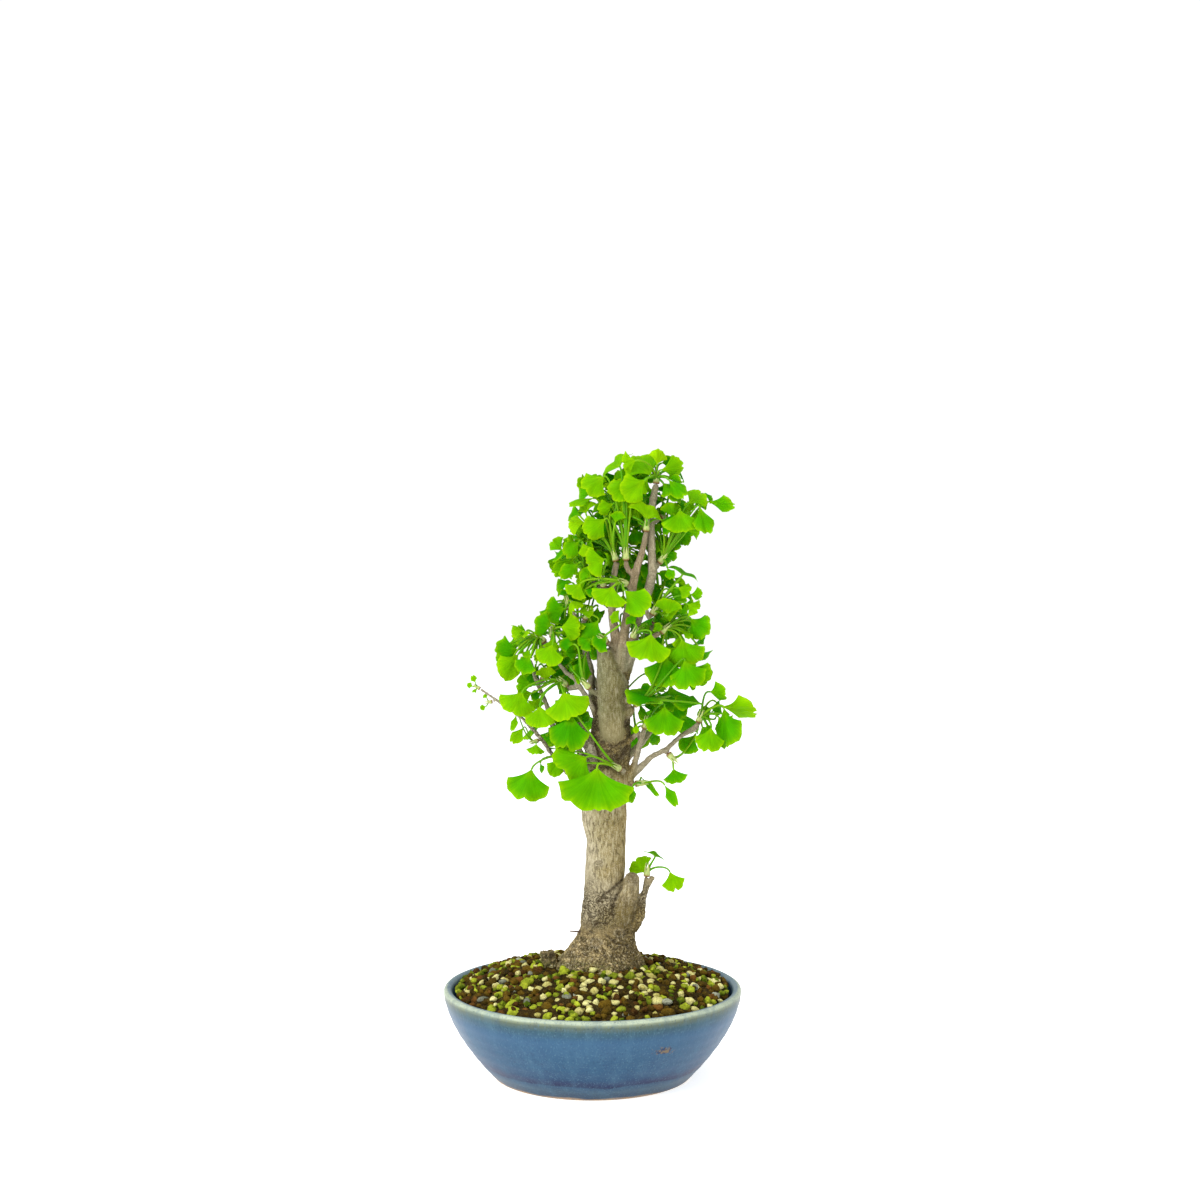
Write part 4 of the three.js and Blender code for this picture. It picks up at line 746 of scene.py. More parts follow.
class Bark:
    """The wood's skin, point by point: the part of the tree it is on, its relief and its colour."""

    def __init__(self, points, normals):
        self.points = points
        self.across, self.up = elevation(points)
        self.height = points[:, 2]
        self.front = smoothstep(0.1, -0.35, normals[:, 1])
        self.tone = rough_noise_of(points, 0.06, 3, 6.0)
        self.grit = rough_noise_of(points, 0.5, 3, 2.0)
        self.strands = strand_noise(points, 0.5, 9.0)
        self.trunk = trunk_share(points)
        self.limbs = 1 - self.trunk
        # The smooth column is wood that has healed over the front of the upper trunk.
        facing = smoothstep(0.35, 0.0, normals[:, 1])
        column = facing * smoothstep(*COLUMN_STARTS, self.up) * smoothstep(*COLUMN_ENDS, self.up)
        self.healed = column * smoothstep(-7, -11, points[:, 1])
        self.find_kinds()
        self.find_relief()

    def find_kinds(self):
        """The share, from 0 to 1, of each kind of bark: that of the foot, curling, and plain."""
        across, height, tone = self.across, self.height, self.tone
        self.rough = self.trunk * (1 - self.healed)
        self.foot = smoothstep(*FOOT_ENDS, height + 5 * tone)
        on_stump = smoothstep(9, 5, off_line(across, self.up, STUMP_LINE))
        self.stump = on_stump * smoothstep(-4, -8, self.points[:, 1])
        self.upper = smoothstep(*UPPER_STARTS, height + 5 * tone) * self.rough
        low_down = smoothstep(*CURLING_ENDS, height + 9 * tone) * (1 - self.foot) * (1 - 0.75 * self.stump)
        left_limb = 0.7 * self.limbs * smoothstep(250, 236, height) * smoothstep(3.4, 2.8, across)
        self.curly = np.maximum.reduce([low_down, 0.8 * self.upper, left_limb])
        self.plain = self.rough * (1 - self.foot) * (1 - self.curly)

    def find_relief(self):
        """How far each point is raised, and how dark it is at the bottom of a crack or a knot."""
        points, foot, curly, grit = self.points, self.foot, self.curly, self.grit
        lumps = noise_of(points, 0.09, 1.0)
        curls = curling_noise(points, 0.36, 3.4, 3.0)
        tangle = curling_noise(points, 0.42, 5.5, 17.0)
        flake_edge = smoothstep(0.17, 0.03, np.abs(curls))
        gap = smoothstep(0.17, 0.04, np.abs(tangle))
        crack = self.plain * smoothstep(-0.22, -0.42, noise_of(points, 1.1, 4.0, (1, 1, 0.22)))
        relief = self.rough * (0.5 + 0.5 * lumps) - 0.25 * crack + 0.1 * grit
        relief += self.limbs * (0.12 + 0.3 * noise_of(points, 0.45, 13.0))
        relief += curly * (0.4 * curls - 0.75 * flake_edge)
        relief += foot * (0.5 * self.strands - gap - 0.7 * flake_edge)
        relief += 0.6 * self.upper * noise_of(points, 0.2, 8.0)
        edges = np.maximum(0.55 * curly, 0.6 * foot) * flake_edge
        frayed = 0.45 * self.stump * smoothstep(-0.05, -0.4, noise_of(points, 0.9, 21.0, (1, 1, 0.1)))
        dark = np.maximum.reduce([0.12 * crack, edges, 0.85 * foot * gap, frayed])
        for half, depth, *line in CREVICES:
            off = off_line(self.across + 1.3 * grit, self.up + curls, line)
            inside = self.front * np.maximum(self.trunk, 0.4) * smoothstep(1.5 * half, 0.3 * half, off)
            relief -= depth * inside
            dark = np.maximum(dark, 0.85 * inside)
        self.knot_rim = np.zeros(len(points))
        for x, z, half_width, half_height, rise, depth in KNOTS:
            off = np.hypot((self.across - x) / half_width, (self.up - z) / half_height) + 0.15 * grit
            rim = self.front * np.exp(-(((off - 1) / 0.28) ** 2))
            middle = self.front * smoothstep(0.85, 0.35, off)
            relief = relief + rise * rim - depth * middle
            self.knot_rim = np.maximum(self.knot_rim, rim)
            dark = np.maximum(dark, 0.55 * middle)
        self.relief, self.dark = relief, dark

    def colours(self):
        """The colour of each point: layers over the palest bark, down to the dark of the cracks."""
        across, up, height, tone, grit = self.across, self.up, self.height, self.tone, self.grit
        front, foot, stump, upper, healed = self.front, self.foot, self.stump, self.upper, self.healed
        worn = front * smoothstep(9, 3, np.hypot(across - 20.5, (up - 108) * 0.9) + 5 * grit)
        # Painted shade on the upper trunk behind and left of the column.
        behind = self.rough * smoothstep(232, 244, up) * smoothstep(6, 2, across)
        leaders = smoothstep(*LEADERS_START, height) * smoothstep(*LEADERS_END, height)
        leaders = leaders * smoothstep(-2.5, -4, self.points[:, 1])
        # The column's colour in painted shade from the foliage, with darker patches at random.
        shaded_column = mixed(SHADED_SMOOTH_BARK, SHADED_BARK, 0.5 * smoothstep(0.0, 0.8, tone + 0.5 * grit))
        off_x, off_z = (across - CUT_MIDDLE[0]) / CUT_HALF_WIDTH, (up - CUT_MIDDLE[1]) / CUT_HALF_HEIGHT
        cut = np.hypot(off_x, off_z) + 0.06 * grit
        cut_rim = front * np.exp(-(((cut - 1) / 0.12) ** 2))
        rings = front * smoothstep(1.0, 0.9, cut) * smoothstep(0.35, 0.9, np.sin(cut * 17))
        dark = np.maximum(self.dark * smoothstep(0.8, 1.0, cut), 0.35 * rings)
        near_soil = smoothstep(9, 0, height - mound_height(np.hypot(self.points[:, 0], self.points[:, 1])))
        low_stump = smoothstep(-22, -27, across) * smoothstep(92, 88, up)
        mossy = np.maximum(near_soil, low_stump) * smoothstep(-0.25, 0.35, tone + grit)
        layers = [
            (MID_BARK, smoothstep(-9, 9, across + 10 * tone)),
            (BROWN_BARK, 0.9 * smoothstep(4, 26, across + 12 * tone)),
            (PALE_BARK, 0.7 * smoothstep(138, 126, height + 8 * tone) * smoothstep(109, 117, height)),
            (BROWN_BARK, 0.8 * foot),
            (OCHRE_BARK, foot * smoothstep(-0.25, 0.25, self.strands + 0.5 * tone)),
            (BROWN_BARK, 0.6 * foot * smoothstep(6, 24, across + 10 * tone)),
            (OLIVE_BARK, 0.9 * worn),
            (BROWN_BARK, 0.8 * upper),
            (SHADED_BARK, 0.8 * upper * smoothstep(-0.3, 0.3, tone + 0.5 * grit)),
            (BROWN_BARK, 0.5 * stump),
            (OLIVE_BARK, 0.45 * stump * smoothstep(118, 104, up)),
            # Painted shade behind the column.
            (SHADED_BARK, 0.85 * behind),
            (TWIG_BARK, 0.8 * self.limbs * smoothstep(120, 150, height)),
            (PINK_BARK, 0.7 * leaders * self.limbs),
            (shaded_column, healed),
            (GREY_BARK, 0.5 * healed * smoothstep(15, 3, across + 4 * tone)),
            (MID_BARK, 0.45 * healed * smoothstep(246, 228, up + 6 * tone)),
            (STUMP_FACE, front * smoothstep(1.1, 0.9, cut)),
            (PALE_BARK, 0.6 * np.maximum(self.knot_rim, cut_rim)),
            (MOSS, 0.6 * mossy),
            (DARK_BARK, 0.85 * np.clip(dark, 0, 1)),
        ]
        colour = PALE_BARK
        for layer, share in layers:
            colour = mixed(colour, layer, share)
        return colour

    def kinds(self):
        """How cracked, how curled and how matted the finish shows each point."""
        cracked = [self.plain, 0.9 * self.stump, 0.5 * self.limbs, 0.2 * self.healed]
        curled = np.maximum(self.curly, 0.4 * self.limbs * (1 - self.healed))
        columns = [np.maximum.reduce(cracked), np.clip(curled, 0, 1), self.foot, np.ones_like(self.foot)]
        return np.stack(columns, axis=1)


def drop_loose_bits(thing):
    """Keeps only the biggest of the separate shells that a coarse remesh leaves."""
    ends = np.empty(2 * len(thing.data.edges), np.int32)
    thing.data.edges.foreach_get("vertices", ends)
    first, second = ends.reshape(-1, 2).T
    shell = np.arange(len(thing.data.vertices))
    while np.any(shell[first] != shell[second]):
        low = np.minimum(shell[first], shell[second])
        np.minimum.at(shell, first, low)
        np.minimum.at(shell, second, low)
        shell = shell[shell]
    shape = bmesh.new()
    shape.from_mesh(thing.data)
    kept = np.bincount(shell).argmax()
    bmesh.ops.delete(shape, geom=[vert for vert in shape.verts if shell[vert.index] != kept], context="VERTS")
    shape.to_mesh(thing.data)
    shape.free()


def smooth_wood(wood):
    """Rounds the facets: the trunk a good deal, thin limbs and the column's cut top only a little."""
    points = points_of(wood)
    _, up = elevation(points)
    share = trunk_share(points) * (1 - smoothstep(272, 279, up))
    group = wood.vertex_groups.new(name="trunk")
    for level in range(1, 11):
        members = np.nonzero(np.round(share * 10) == level)[0]
        group.add(members.tolist(), level / 10, "REPLACE")
    all_over = {"factor": 0.5, "iterations": 5}
    trunk = {"factor": 0.5, "iterations": 30, "vertex_group": "trunk"}
    modified(wood, ("SMOOTH", all_over), ("SMOOTH", trunk))


def make_hair_twig(material):
    """The dry hair of a twig at the trunk's foot, too thin for the remeshed wood."""
    path = np.array([place(*at) for at in HAIR_TWIG])
    points, faces = tube(path, np.linspace(0.8, 0.5, len(path)), 7, np.array([0, 1.0, 0]))
    twig = mesh_object("hair_twig_bark", points, faces, [material])
    colour_points(twig, "bark", np.tile(DRY_TWIG, (len(points), 1)))
    colour_points(twig, "kind", np.tile([0.5, 0, 0, 1], (len(points), 1)))
    finished(twig, "bark", "tree_wood")


def make_wood():
    wood = welded_copy("tree_wood", "tree_wood_bark")
    modified(wood, ("REMESH", {"mode": "VOXEL", "voxel_size": VOXEL * MM}))
    drop_loose_bits(wood)
    smooth_wood(wood)
    points, normals = points_of(wood), normals_of(wood)
    skin = Bark(points, normals)
    move_points(wood, points + normals * skin.relief[:, None])
    colour_points(wood, "bark", skin.colours())
    colour_points(wood, "kind", skin.kinds())
    modified(wood, ("DECIMATE", {"ratio": KEPT_SHARE}))
    bark = bark_finish()
    make_hair_twig(bark)
    dress(wood, bark)
    finished(wood, "bark", "tree_wood")
    return wood


def clearance_test(wood):
    """A test for whether a soil grain at a spot stays outside the wood."""
    tree = bvhtree.BVHTree.FromObject(wood, bpy.context.evaluated_depsgraph_get())

    def clear(spot):
        at = Vector(spot[:3]) * MM
        nearest, normal, _, distance = tree.find_nearest(at)
        return (at - nearest).dot(normal) > 0 and distance > 0.25 * spot[3] * MM

    return clear


# ---- the leafy spurs ----------------------------------------------------------------------------

# Tufts as in the part's source: the shoot's tip, the way its bud points, the bud's size, and the
# leaves, each (base across, base up, tip across, tip up, width, depth, roll, tone), where the tone
# is painted light and shade: from 0, a leaf in painted shade, to 1, a lit one, and beyond to a yellow-green
# highlight.
TUFTS = [
    ("leaves_top", (42.8, 395.5, 0), (0.1, 0, 1), 1, [
        (43.5, 408.3, 45.5, 419, 13, 0, 15, 1.1), (46.5, 409.5, 54, 411.8, 9, 9, 30, 0.15),
        (46.2, 405, 61.8, 407.8, 15, -5, 10, 0.8), (50, 399.5, 60.3, 396.8, 13, -3, 72, 0.6),
        (51, 398.5, 62, 386.8, 13, -11, 25, 0.5), (35.5, 398, 21.5, 386.8, 20, -14, 20, 0.85),
        (39.5, 401, 29, 414.8, 24, -3, 10, 0.75), (38, 404, 30, 402, 15, 9, 0, 0.15),
    ]),
    ("leaves_leader", (36, 363.5, -4), (0.1, -0.2, 1), 1, [
        (36.5, 371.5, 37, 383.2, 23, -12, 10, 0.9), (46, 371.5, 55, 366, 15, 3, 10, 0.15),
        (29, 372, 22, 380, 13, 4, 10, 0.15),
    ]),
    ("leaves_high_right", (44.5, 342, 3), (0.6, 0, 0.8), 1, [
        (64.5, 382.3, 74.5, 390.2, 16, -2, 10, 0.8), (78, 383.5, 94.8, 379.8, 13, 1, 40, 0.5),
        (53, 381, 63.5, 379.5, 12, 9, 15, 0.15), (59, 378, 60, 362.6, 26, -12, 0, 0.65),
        (72, 380.5, 77, 361.8, 15, -6, 20, 0.5), (50.5, 339, 53, 331.8, 8, -3, 10, 0.5),
        (45, 357, 44, 346, 17, 14, 0, 0.12), (55, 362, 51, 351, 14, 9, 10, 0.12),
    ]),
    ("leaves_high_left", (15.9, 343.3, -2), (-0.3, -0.1, 1), 1, [
        (1, 386, -15.8, 381.4, 10, 1, 55, 0.8), (14, 382.3, 4, 376.8, 11, -1, 25, 0.8),
        (8.5, 372, -4, 361, 17, -7, 10, 0.8), (14, 369, 8, 361, 15, 7, 0, 0.15),
    ]),
    ("leaves_high_middle", (22.5, 344.2, -6.2), (0, -0.3, 1), 1, [
        (18.5, 407, 13, 413.6, 26, -5, 0, 0.8), (8, 400.5, -5, 391.5, 19, -4, 12, 0.8),
        (19, 401.5, 8.5, 393, 15, 5, 10, 0.15), (25, 396.5, 12, 386.8, 17, -10, 15, 0.8),
        (27, 366, 31, 355, 14, 6, 0, 0.3),
    ]),
    ("leaves_left_crown", (-0.5, 331, 2), (-0.7, -0.1, 0.7), 1, [
        (-4.5, 364.8, -15, 365.2, 10, 4, 15, 0.7), (-9.8, 354.6, -20.5, 357.5, 10, 2, 20, 0.6),
        (-9, 357, -18, 347, 12, -5, 10, 0.65), (-18.6, 353.4, -26.4, 343.4, 8, 2, 60, 0.5),
        (-12, 345.5, -26.2, 334, 11, 1, 20, 0.7), (-9, 342.5, -21.6, 332.6, 11, -8, 25, 0.6),
    ]),
    ("leaves_left_inner", (7.5, 326.5, -5), (-0.3, -0.6, 0.8), 1, [
        (8, 344.8, -1.8, 341.2, 21, -15, 0, 0.85), (4, 336, -3, 328, 12, 4, 10, 0.15),
    ]),
    ("leaves_middle_front", (23, 328, -11.5), (-0.5, -0.8, 0.3), 1, [
        (14, 326.3, 8, 313.8, 24, -22, 8, 0.8), (21.5, 324, 36.5, 309.3, 20, -20, 8, 0.65),
        (-8, 328.6, -14.6, 320, 16, -9, 15, 0.8), (2, 327, 0, 319, 12, 0, 0, 0.15),
    ]),
    ("leaves_left_tip", (-15.5, 311.5, 6), (-0.3, -0.2, 0.9), 1, [
        (-18.5, 311.5, -31, 308.4, 19, 0, 10, 0.5), (-10, 309, 0.4, 311.3, 10, -3, 15, 0.8),
        (-19, 319.5, -20.5, 324.4, 6, 6, 0, 0.15),
    ]),
    ("leaves_left_end", (-32.4, 289, 1), (-0.6, -0.3, 0.7), 1, [
        (-50, 284, -63.5, 279.6, 20, -1, 10, 0.5), (-50, 281, -60.4, 265, 17, -9, 15, 0.8),
        (-42, 279.5, -48.4, 268.3, 15, -14, 8, 0.5), (-38, 288.5, -55.4, 290.4, 14, 6, 25, 0.95),
        (-46, 291.5, -49.2, 300.3, 6, 10, 30, 0.5),
    ]),
    ("leaves_left_fork", (-27, 292, 2), (0, -0.2, 1), 1, [
        (-27.5, 300.5, -37.8, 299.6, 17, -2, 10, 0.5), (-21.5, 299, -9.2, 297.7, 18, -5, 8, 0.85),
        (-27, 287.5, -31.6, 274, 19, -13, 5, 0.85), (-20.5, 281, -10.6, 283.5, 11, -3, 12, 0.5),
    ]),
    ("leaves_left_low", (-34, 263.5, 5), (0.5, -0.4, 0.6), 1, [
        (-31, 262.8, -32, 272.2, 13, -3, 0, 1.1), (-36, 273.5, -44.6, 260, 12, -2, 15, 0.15),
        (-18, 273, -27.4, 267.6, 13, 7, 10, 0.15), (-24, 262, -16.4, 257, 12, 12, 10, 0.4),
    ]),
    ("leaves_inner_left", (-5.4, 304.5, 3), (0.3, -0.4, 0.9), 1, [
        (4, 303.5, -6, 290, 17, -7, 10, 0.5), (3.5, 313, 2, 301, 9, 4, 15, 0.5),
        (-2, 299.5, -9, 293.5, 10, 2, 15, 0.15),
    ]),
    ("leaves_inner_middle", (9.4, 289, -8), (-0.6, -0.6, 0.5), 1, [
        (18.4, 302.5, 12.3, 307.4, 10, -12, 10, 0.8), (9.5, 292, 1.3, 286, 13, -13, 10, 0.15),
        (-1, 291, -8.7, 286.6, 12, 0, 10, 0.5),
    ]),
    ("leaves_inner_right", (27, 292, -8), (0.3, -0.7, 0.8), 1, [
        (39.5, 294.5, 36, 276.3, 29, -18, 0, 0.8), (29, 301, 24, 307, 10, -14, 0, 0.5),
    ]),
    ("leaves_right_high", (40, 307.5, -2), (0.5, -0.3, 0.9), 1, [
        (60.5, 334.3, 62.6, 338.8, 22, -2, 0, 0.6), (48, 321.5, 40.3, 321.8, 11, 6, 12, 0.15),
        (51, 324.6, 63.9, 318, 13, 3, 15, 0.5), (50.5, 307.5, 51.7, 318.3, 19, -9, 0, 0.8),
        (64, 314.5, 71.1, 310.4, 13, -4, 15, 0.8),
    ]),
    ("leaves_right_middle", (45.7, 295.4, -3), (0.7, -0.1, 0.6), 1, [
        (66, 305, 76.6, 293.4, 18, 1, 12, 0.5), (45.5, 302, 62.1, 297.6, 14, 8, 12, 0.15),
        (60, 290.5, 64.1, 274, 27, -7, 5, 0.6), (41, 297, 46.6, 300.6, 7, -7, 10, 0.65),
        (66, 272.8, 77.2, 262, 17, 0, 15, 0.6),
    ]),
    ("leaves_left_middle", (-17.6, 259.6, -1), (-0.6, -0.5, 0.6), 1, [
        (-47.5, 255.5, -54, 241, 25, -9, 5, 0.85), (-35.5, 246, -35, 232.3, 21, -15, 0, 0.85),
        (-20, 255.5, -14, 238.4, 29, -17, 0, 0.85), (-34.5, 254, -41, 252.4, 9, 1, 15, 0.15),
        (-13, 267, -22, 259.5, 15, 4, 12, 0.5),
    ]),
    ("leaves_trunk_left", (-2.4, 258, -12), (-0.6, -0.5, 0.7), 1, [
        (-4.5, 281, -8.4, 261, 13, -3, 20, 0.35), (-12.5, 287.5, -23, 287.8, 10, 3, 15, 0.15),
    ]),
    ("leaves_trunk_right", (28.4, 246.6, -12.4), (0.8, -0.4, 0.4), 1, [
        (73.5, 247.3, 55.8, 250.2, 22, -4, 62, 0.5), (46.5, 248.4, 24, 257, 26, -16, 68, 0.15),
        (49, 280.5, 47, 259.3, 26, -8, 5, 0.35), (62, 277, 66, 257.9, 24, -3, 5, 0.5),
        (35.4, 254.5, 36, 261, 8, -6, 15, 0.15), (55, 247, 61, 237.5, 13, 4, 10, 0.15),
    ]),
    ("leaves_cut_twig", (34.9, 230.4, -4), (0.2, -0.1, 1), 1, [
        (48.5, 246, 47.5, 226.6, 26, -13, 4, 0.5), (30, 233.5, 28.7, 227.8, 5, -9, 0, 1.05),
    ]),
    ("leaves_right_end", (71.4, 234.6, -3.4), (0.3, -0.1, 1), 1, [
        (79, 255.5, 89.5, 253.5, 19, -4, 50, 0.6), (87, 245.6, 109.8, 241.3, 24, -1, 52, 0.85),
        (88.5, 244.5, 89.3, 219, 27, -9, 55, 0.5), (80, 231.5, 77.3, 216, 19, -15, 5, 0.7),
        (79, 236.8, 73, 244.6, 11, -2, 10, 0.5), (83, 238, 85.8, 246.5, 9, 5, 10, 0.5),
    ]),
    ("leaves_right_low", (50.9, 213.8, -4), (0.6, -0.2, -0.6), 1, [
        (69, 226.6, 61, 215.3, 15, 4, 8, 0.5), (54.5, 203.8, 56.4, 194, 16, -5, 5, 0.5),
    ]),
    ("leaves_low_front", (18.6, 203.4, -17), (-0.6, -0.7, 0.4), 1, [
        (3, 204.6, 1.3, 178.5, 47, -31, 0, 0.6), (-4, 211.5, -19.6, 203.4, 32, -23, 12, 0.65),
        (-14, 241, -18, 217.6, 27, -18, 5, 0.35),
    ]),
    ("leaves_low_left", (-20.6, 207.6, -1.5), (0.1, -0.4, 0.9), 1, [
        (-41, 203.5, -46, 183.4, 29, -7, 4, 0.55), (-35.2, 207.6, -34, 201, 8, 4, 60, 0.5),
        (-21.5, 211.5, -27.6, 199, 12, -7, 12, 0.8), (-8, 228, -12.4, 220.8, 10, 6, 12, 0.5),
    ]),
    ("leaves_low_right", (28.6, 193.4, -6), (0.8, -0.1, 0.1), 1, [
        (33, 197.5, 43.6, 186, 9, -3, 58, 0.6), (48.5, 192.8, 56.2, 179.4, 8, -3, 8, 0.6),
        (27.4, 192, 24.7, 181.4, 8, -17, 45, 0.6),
    ]),
    ("leaves_foot", (36.4, 131, -7), (0.1, -0.1, 1), 1, [
        (36, 133.5, 28.4, 141.6, 18, 0, 8, 0.98), (42, 144.2, 43, 146.6, 16, -7, 0, 0.6),
        (52, 134.4, 56, 122.2, 15, -9, 0, 0.9),
    ]),
    ("leaves_twig_end", (-75.7, 257.4, 0), (-0.8, 0, 0.5), 0.55, [
        (-79, 261.6, -81.2, 266.4, 5, -2, 0, 0.85), (-80.6, 259, -84.8, 260.4, 4.5, 1, 0, 0.85),
        (-79, 255, -80.4, 257, 4, -3, 0, 0.85),
    ]),
    ("leaves_twig_side", (-67.3, 248.8, 0), (-1, 0, -0.1), 0.55, [
        (-71.3, 251.2, -73.2, 253.6, 4.5, 1, 0, 0.85), (-71.8, 245.6, -75.6, 244.3, 4.5, -1, 0, 0.85),
    ]),
    ("leaves_twig_middle", (-36.8, 222.6, -1), (-0.8, -0.4, -0.2), 0.7, [
        (-38, 220.4, -38.7, 213.6, 12, -5, 0, 0.8), (-46.4, 231.5, -54.4, 221.4, 9, 2, 10, 0.8),
        (-51.4, 240, -54, 229.5, 6, 6, 30, 0.8),
    ]),
]

# Tufts on the far side, whose leaves are fanned round the shoot by rule: the width is their usual one.
BACK_TUFTS = [
    ("leaves_back_low", (-14.4, 227, 40.8), (-0.3, 0.5, 0.8), 4, 27),
    ("leaves_back_right", (44.4, 237, 38.8), (0.4, 0.4, 0.8), 4, 28),
    ("leaves_back_right_inner", (31, 226, 34), (-0.3, 0.7, 0.6), 3, 24),
    ("leaves_back_middle", (-6.6, 275.2, 38.8), (-0.3, 0.4, 0.8), 4, 26),
    ("leaves_back_trunk", (10, 243, 23), (0.5, 0.8, 0.4), 3, 25),
    ("leaves_back_high", (41.6, 301.2, 34.8), (0.3, 0.4, 0.8), 4, 26),
    ("leaves_back_high_inner", (25, 285, 25), (-0.5, 0.7, 0.5), 3, 24),
    ("leaves_back_leader", (-0.4, 347.2, 28.6), (-0.3, 0.5, 0.8), 4, 23),
    ("leaves_back_crown", (26.8, 383.2, 22.6), (-0.2, 0.5, 0.8), 4, 20.5),
    ("leaves_back_top", (45, 372, 6), (0.6, 0.7, 0.4), 3, 20),
]

# Half of a blade's outline, from its side edge to the cleft in its margin: (along, across), as in the
# part's source, for blades at least this wide.
HALF_OUTLINES = [
    (28, [(0.2, 0.5), (0.46, 1), (0.75, 0.92), (0.93, 0.56), (1, 0.2)]),
    (16.5, [(0.21, 0.48), (0.5, 1), (0.83, 0.8), (1, 0.26)]),
    (9.5, [(0.24, 0.46), (0.62, 1), (0.96, 0.44)]),
    (0, [(0.45, 0.94), (1, 0.45)]),
]
FIT = 0.06  # how near a blade's corners lie to the frame's where its depth is the right one
JOINT_SPREAD = math.radians(34)  # half angle of the fan at its joint
FLARE = 0.6
SCALLOP = 0.03  # depth of the margin's scallops, as a share of the blade's width
RUFFLE = 0.016
LEAF_SHEET = 0.34  # thickness of a real blade
JOINT = 0.03  # the fan starts at this share of its reach
# Leaf colours for the tones, from painted shade to painted light.
SHADED_LEAF = linear(34, 140, 0)
MID_LEAF = linear(76, 168, 0)
LIT_LEAF = linear(136, 196, 3)
YELLOW_LEAF = linear(190, 220, 8)
STALK = linear(84, 160, 14)
PALER_BELOW = [1.2, 1.08, 1.3, 1]
BUD_TIP = linear(178, 192, 118)
BUD_FOOT = linear(112, 64, 36)
TONE_VARIATION = 0.12
CLEFT_SPREAD = math.radians(9)
# The finer grid of a blade wider than the first number: how many columns and rows.
BLADE_GRIDS = [(20, 28, 9), (10, 22, 7), (0, 14, 5)]
LIGHT_LET_THROUGH = 0.28
STALK_SIDES = 6
CORE_SIDES = 8
# The bud's whorls of scales: from and to, as shares of its length, and radius, as a share of its own.
WHORLS = [(0.0, 0.85, 1.05), (0.15, 2.0, 0.86)]
SCALES_PER_WHORL = 5
SCALE_SPREAD = 0.66  # half the angle that a scale covers, in radians
SCALE_SHEET = 0.28


def blade_wave(along, across, index):
    """How far a blade stands off its flat plane, as a share of its width."""
    cup = CUP + CUP_RANGE * chance(index + 0.1)
    droop = DROOP_RANGE * (chance(index + 0.2) - DROOP_RISE)
    turn = RIPPLE_TURN * (1 + chance(index + 0.3))
    ripple = RIPPLE * np.sin(across * turn + RIPPLE_START * chance(index + 0.4))
    return -cup * across**2 * along - droop * along**2 + ripple * along


def blade_lift(leaf, along, across, index):
    """The same in millimetres, with the fold along the middle of a young blade."""
    return (blade_wave(along, across, index) - leaf.get("fold", 0) * np.abs(across) * along) * leaf["width"]


def blade_outline(width, index):
    """A blade's outline as (along, across), one side edge to the other through the cleft."""
    half = next(rows for least, rows in HALF_OUTLINES if width >= least)
    first = index * DRAWS_PER_BLADE

    def varied(along, across, k):
        return along + MARGIN_VARIATION * (chance(first + k) - 0.5), across

    right = [varied(along, across, k) for k, (along, across) in enumerate(half)]
    left = [varied(along, -across, k + len(half) + 1) for k, (along, across) in enumerate(reversed(half))]
    return np.array([*right, (CLEFT + CLEFT_VARIATION * chance(index + 0.5), 0), *left])


def elevation_leaf(row, index, shift):
    """The frame of a leaf drawn on the elevation: joint, midline, side, upper normal and size."""
    base_x, base_z, tip_x, tip_z, drawn_width, depth, drawn_roll, _ = row
    base = place(base_x, base_z, depth + shift)
    reach = (depth + shift - EYE[1]) / -EYE[1]
    seen = np.array([(tip_x - base_x) * reach, 0, (tip_z - base_z) * reach])
    handed = -1 if chance(index + 0.6) < 0.5 else 1
    by_chance = handed * (LEAST_TURN + TURN_RANGE * chance(index + 0.7))
    roll = math.radians(by_chance if TURNED_FROM <= drawn_roll < TURNED_TO else drawn_roll)
    width = drawn_width * math.cos(math.radians(drawn_roll)) / math.cos(roll)
    length = max(BLADE_PROPORTION * width, LEAST_LEAN * np.linalg.norm(seen))
    lean = math.sqrt(length**2 - seen @ seen)
    axis = unit(seen + np.array([0, -lean if tip_z < base_z else lean, 0]))
    side = unit(np.cross([0, 1, 0], seen))
    normal = unit(np.cross(side, axis))
    normal = -normal if normal[1] > 0 else normal
    return {
        "base": base, "axis": axis, "side": turned(side, axis, roll), "normal": turned(normal, axis, roll),
        "width": width, "length": length,
    }


def fanned_leaf(bud, count, usual, k, index, shift):
    """The frame of leaf `k` of a far-side tuft."""
    heart, lift = bud["heart"], bud["lift"]
    turn = (k / count + FAN["turn_range"] * chance(index + 0.6)) * 2 * math.pi
    outward = turned(unit(np.cross([1, 0, 0], lift)), lift, turn)
    width = usual * (FAN["least_width"] + FAN["width_range"] * chance(index + 0.7))
    reach = width * (FAN["least_reach"] + FAN["reach_range"] * chance(index + 0.9))
    base = heart + lift * FAN["climb"] * reach + outward * (FAN["spread"] * reach + abs(shift))
    base[1] += max(shift, 0)
    out, back, down = FAN["hang"]
    axis = unit(outward * out + np.array([0, back, down]))
    side = unit(np.cross([0, 0, 1], axis))
    return {
        "base": base, "axis": axis, "side": side, "normal": unit(np.cross(axis, side)),
        "width": width, "length": BLADE_PROPORTION * width,
    }


def on_blade(leaf, along, across, off):
    """Points of a blade from columns of shares along and across, and of heights off its plane."""
    return (
        leaf["base"]
        + np.multiply.outer(along * leaf["length"], leaf["axis"])
        + np.multiply.outer(across * leaf["width"] / 2, leaf["side"])
        + np.multiply.outer(off, leaf["normal"])
    )


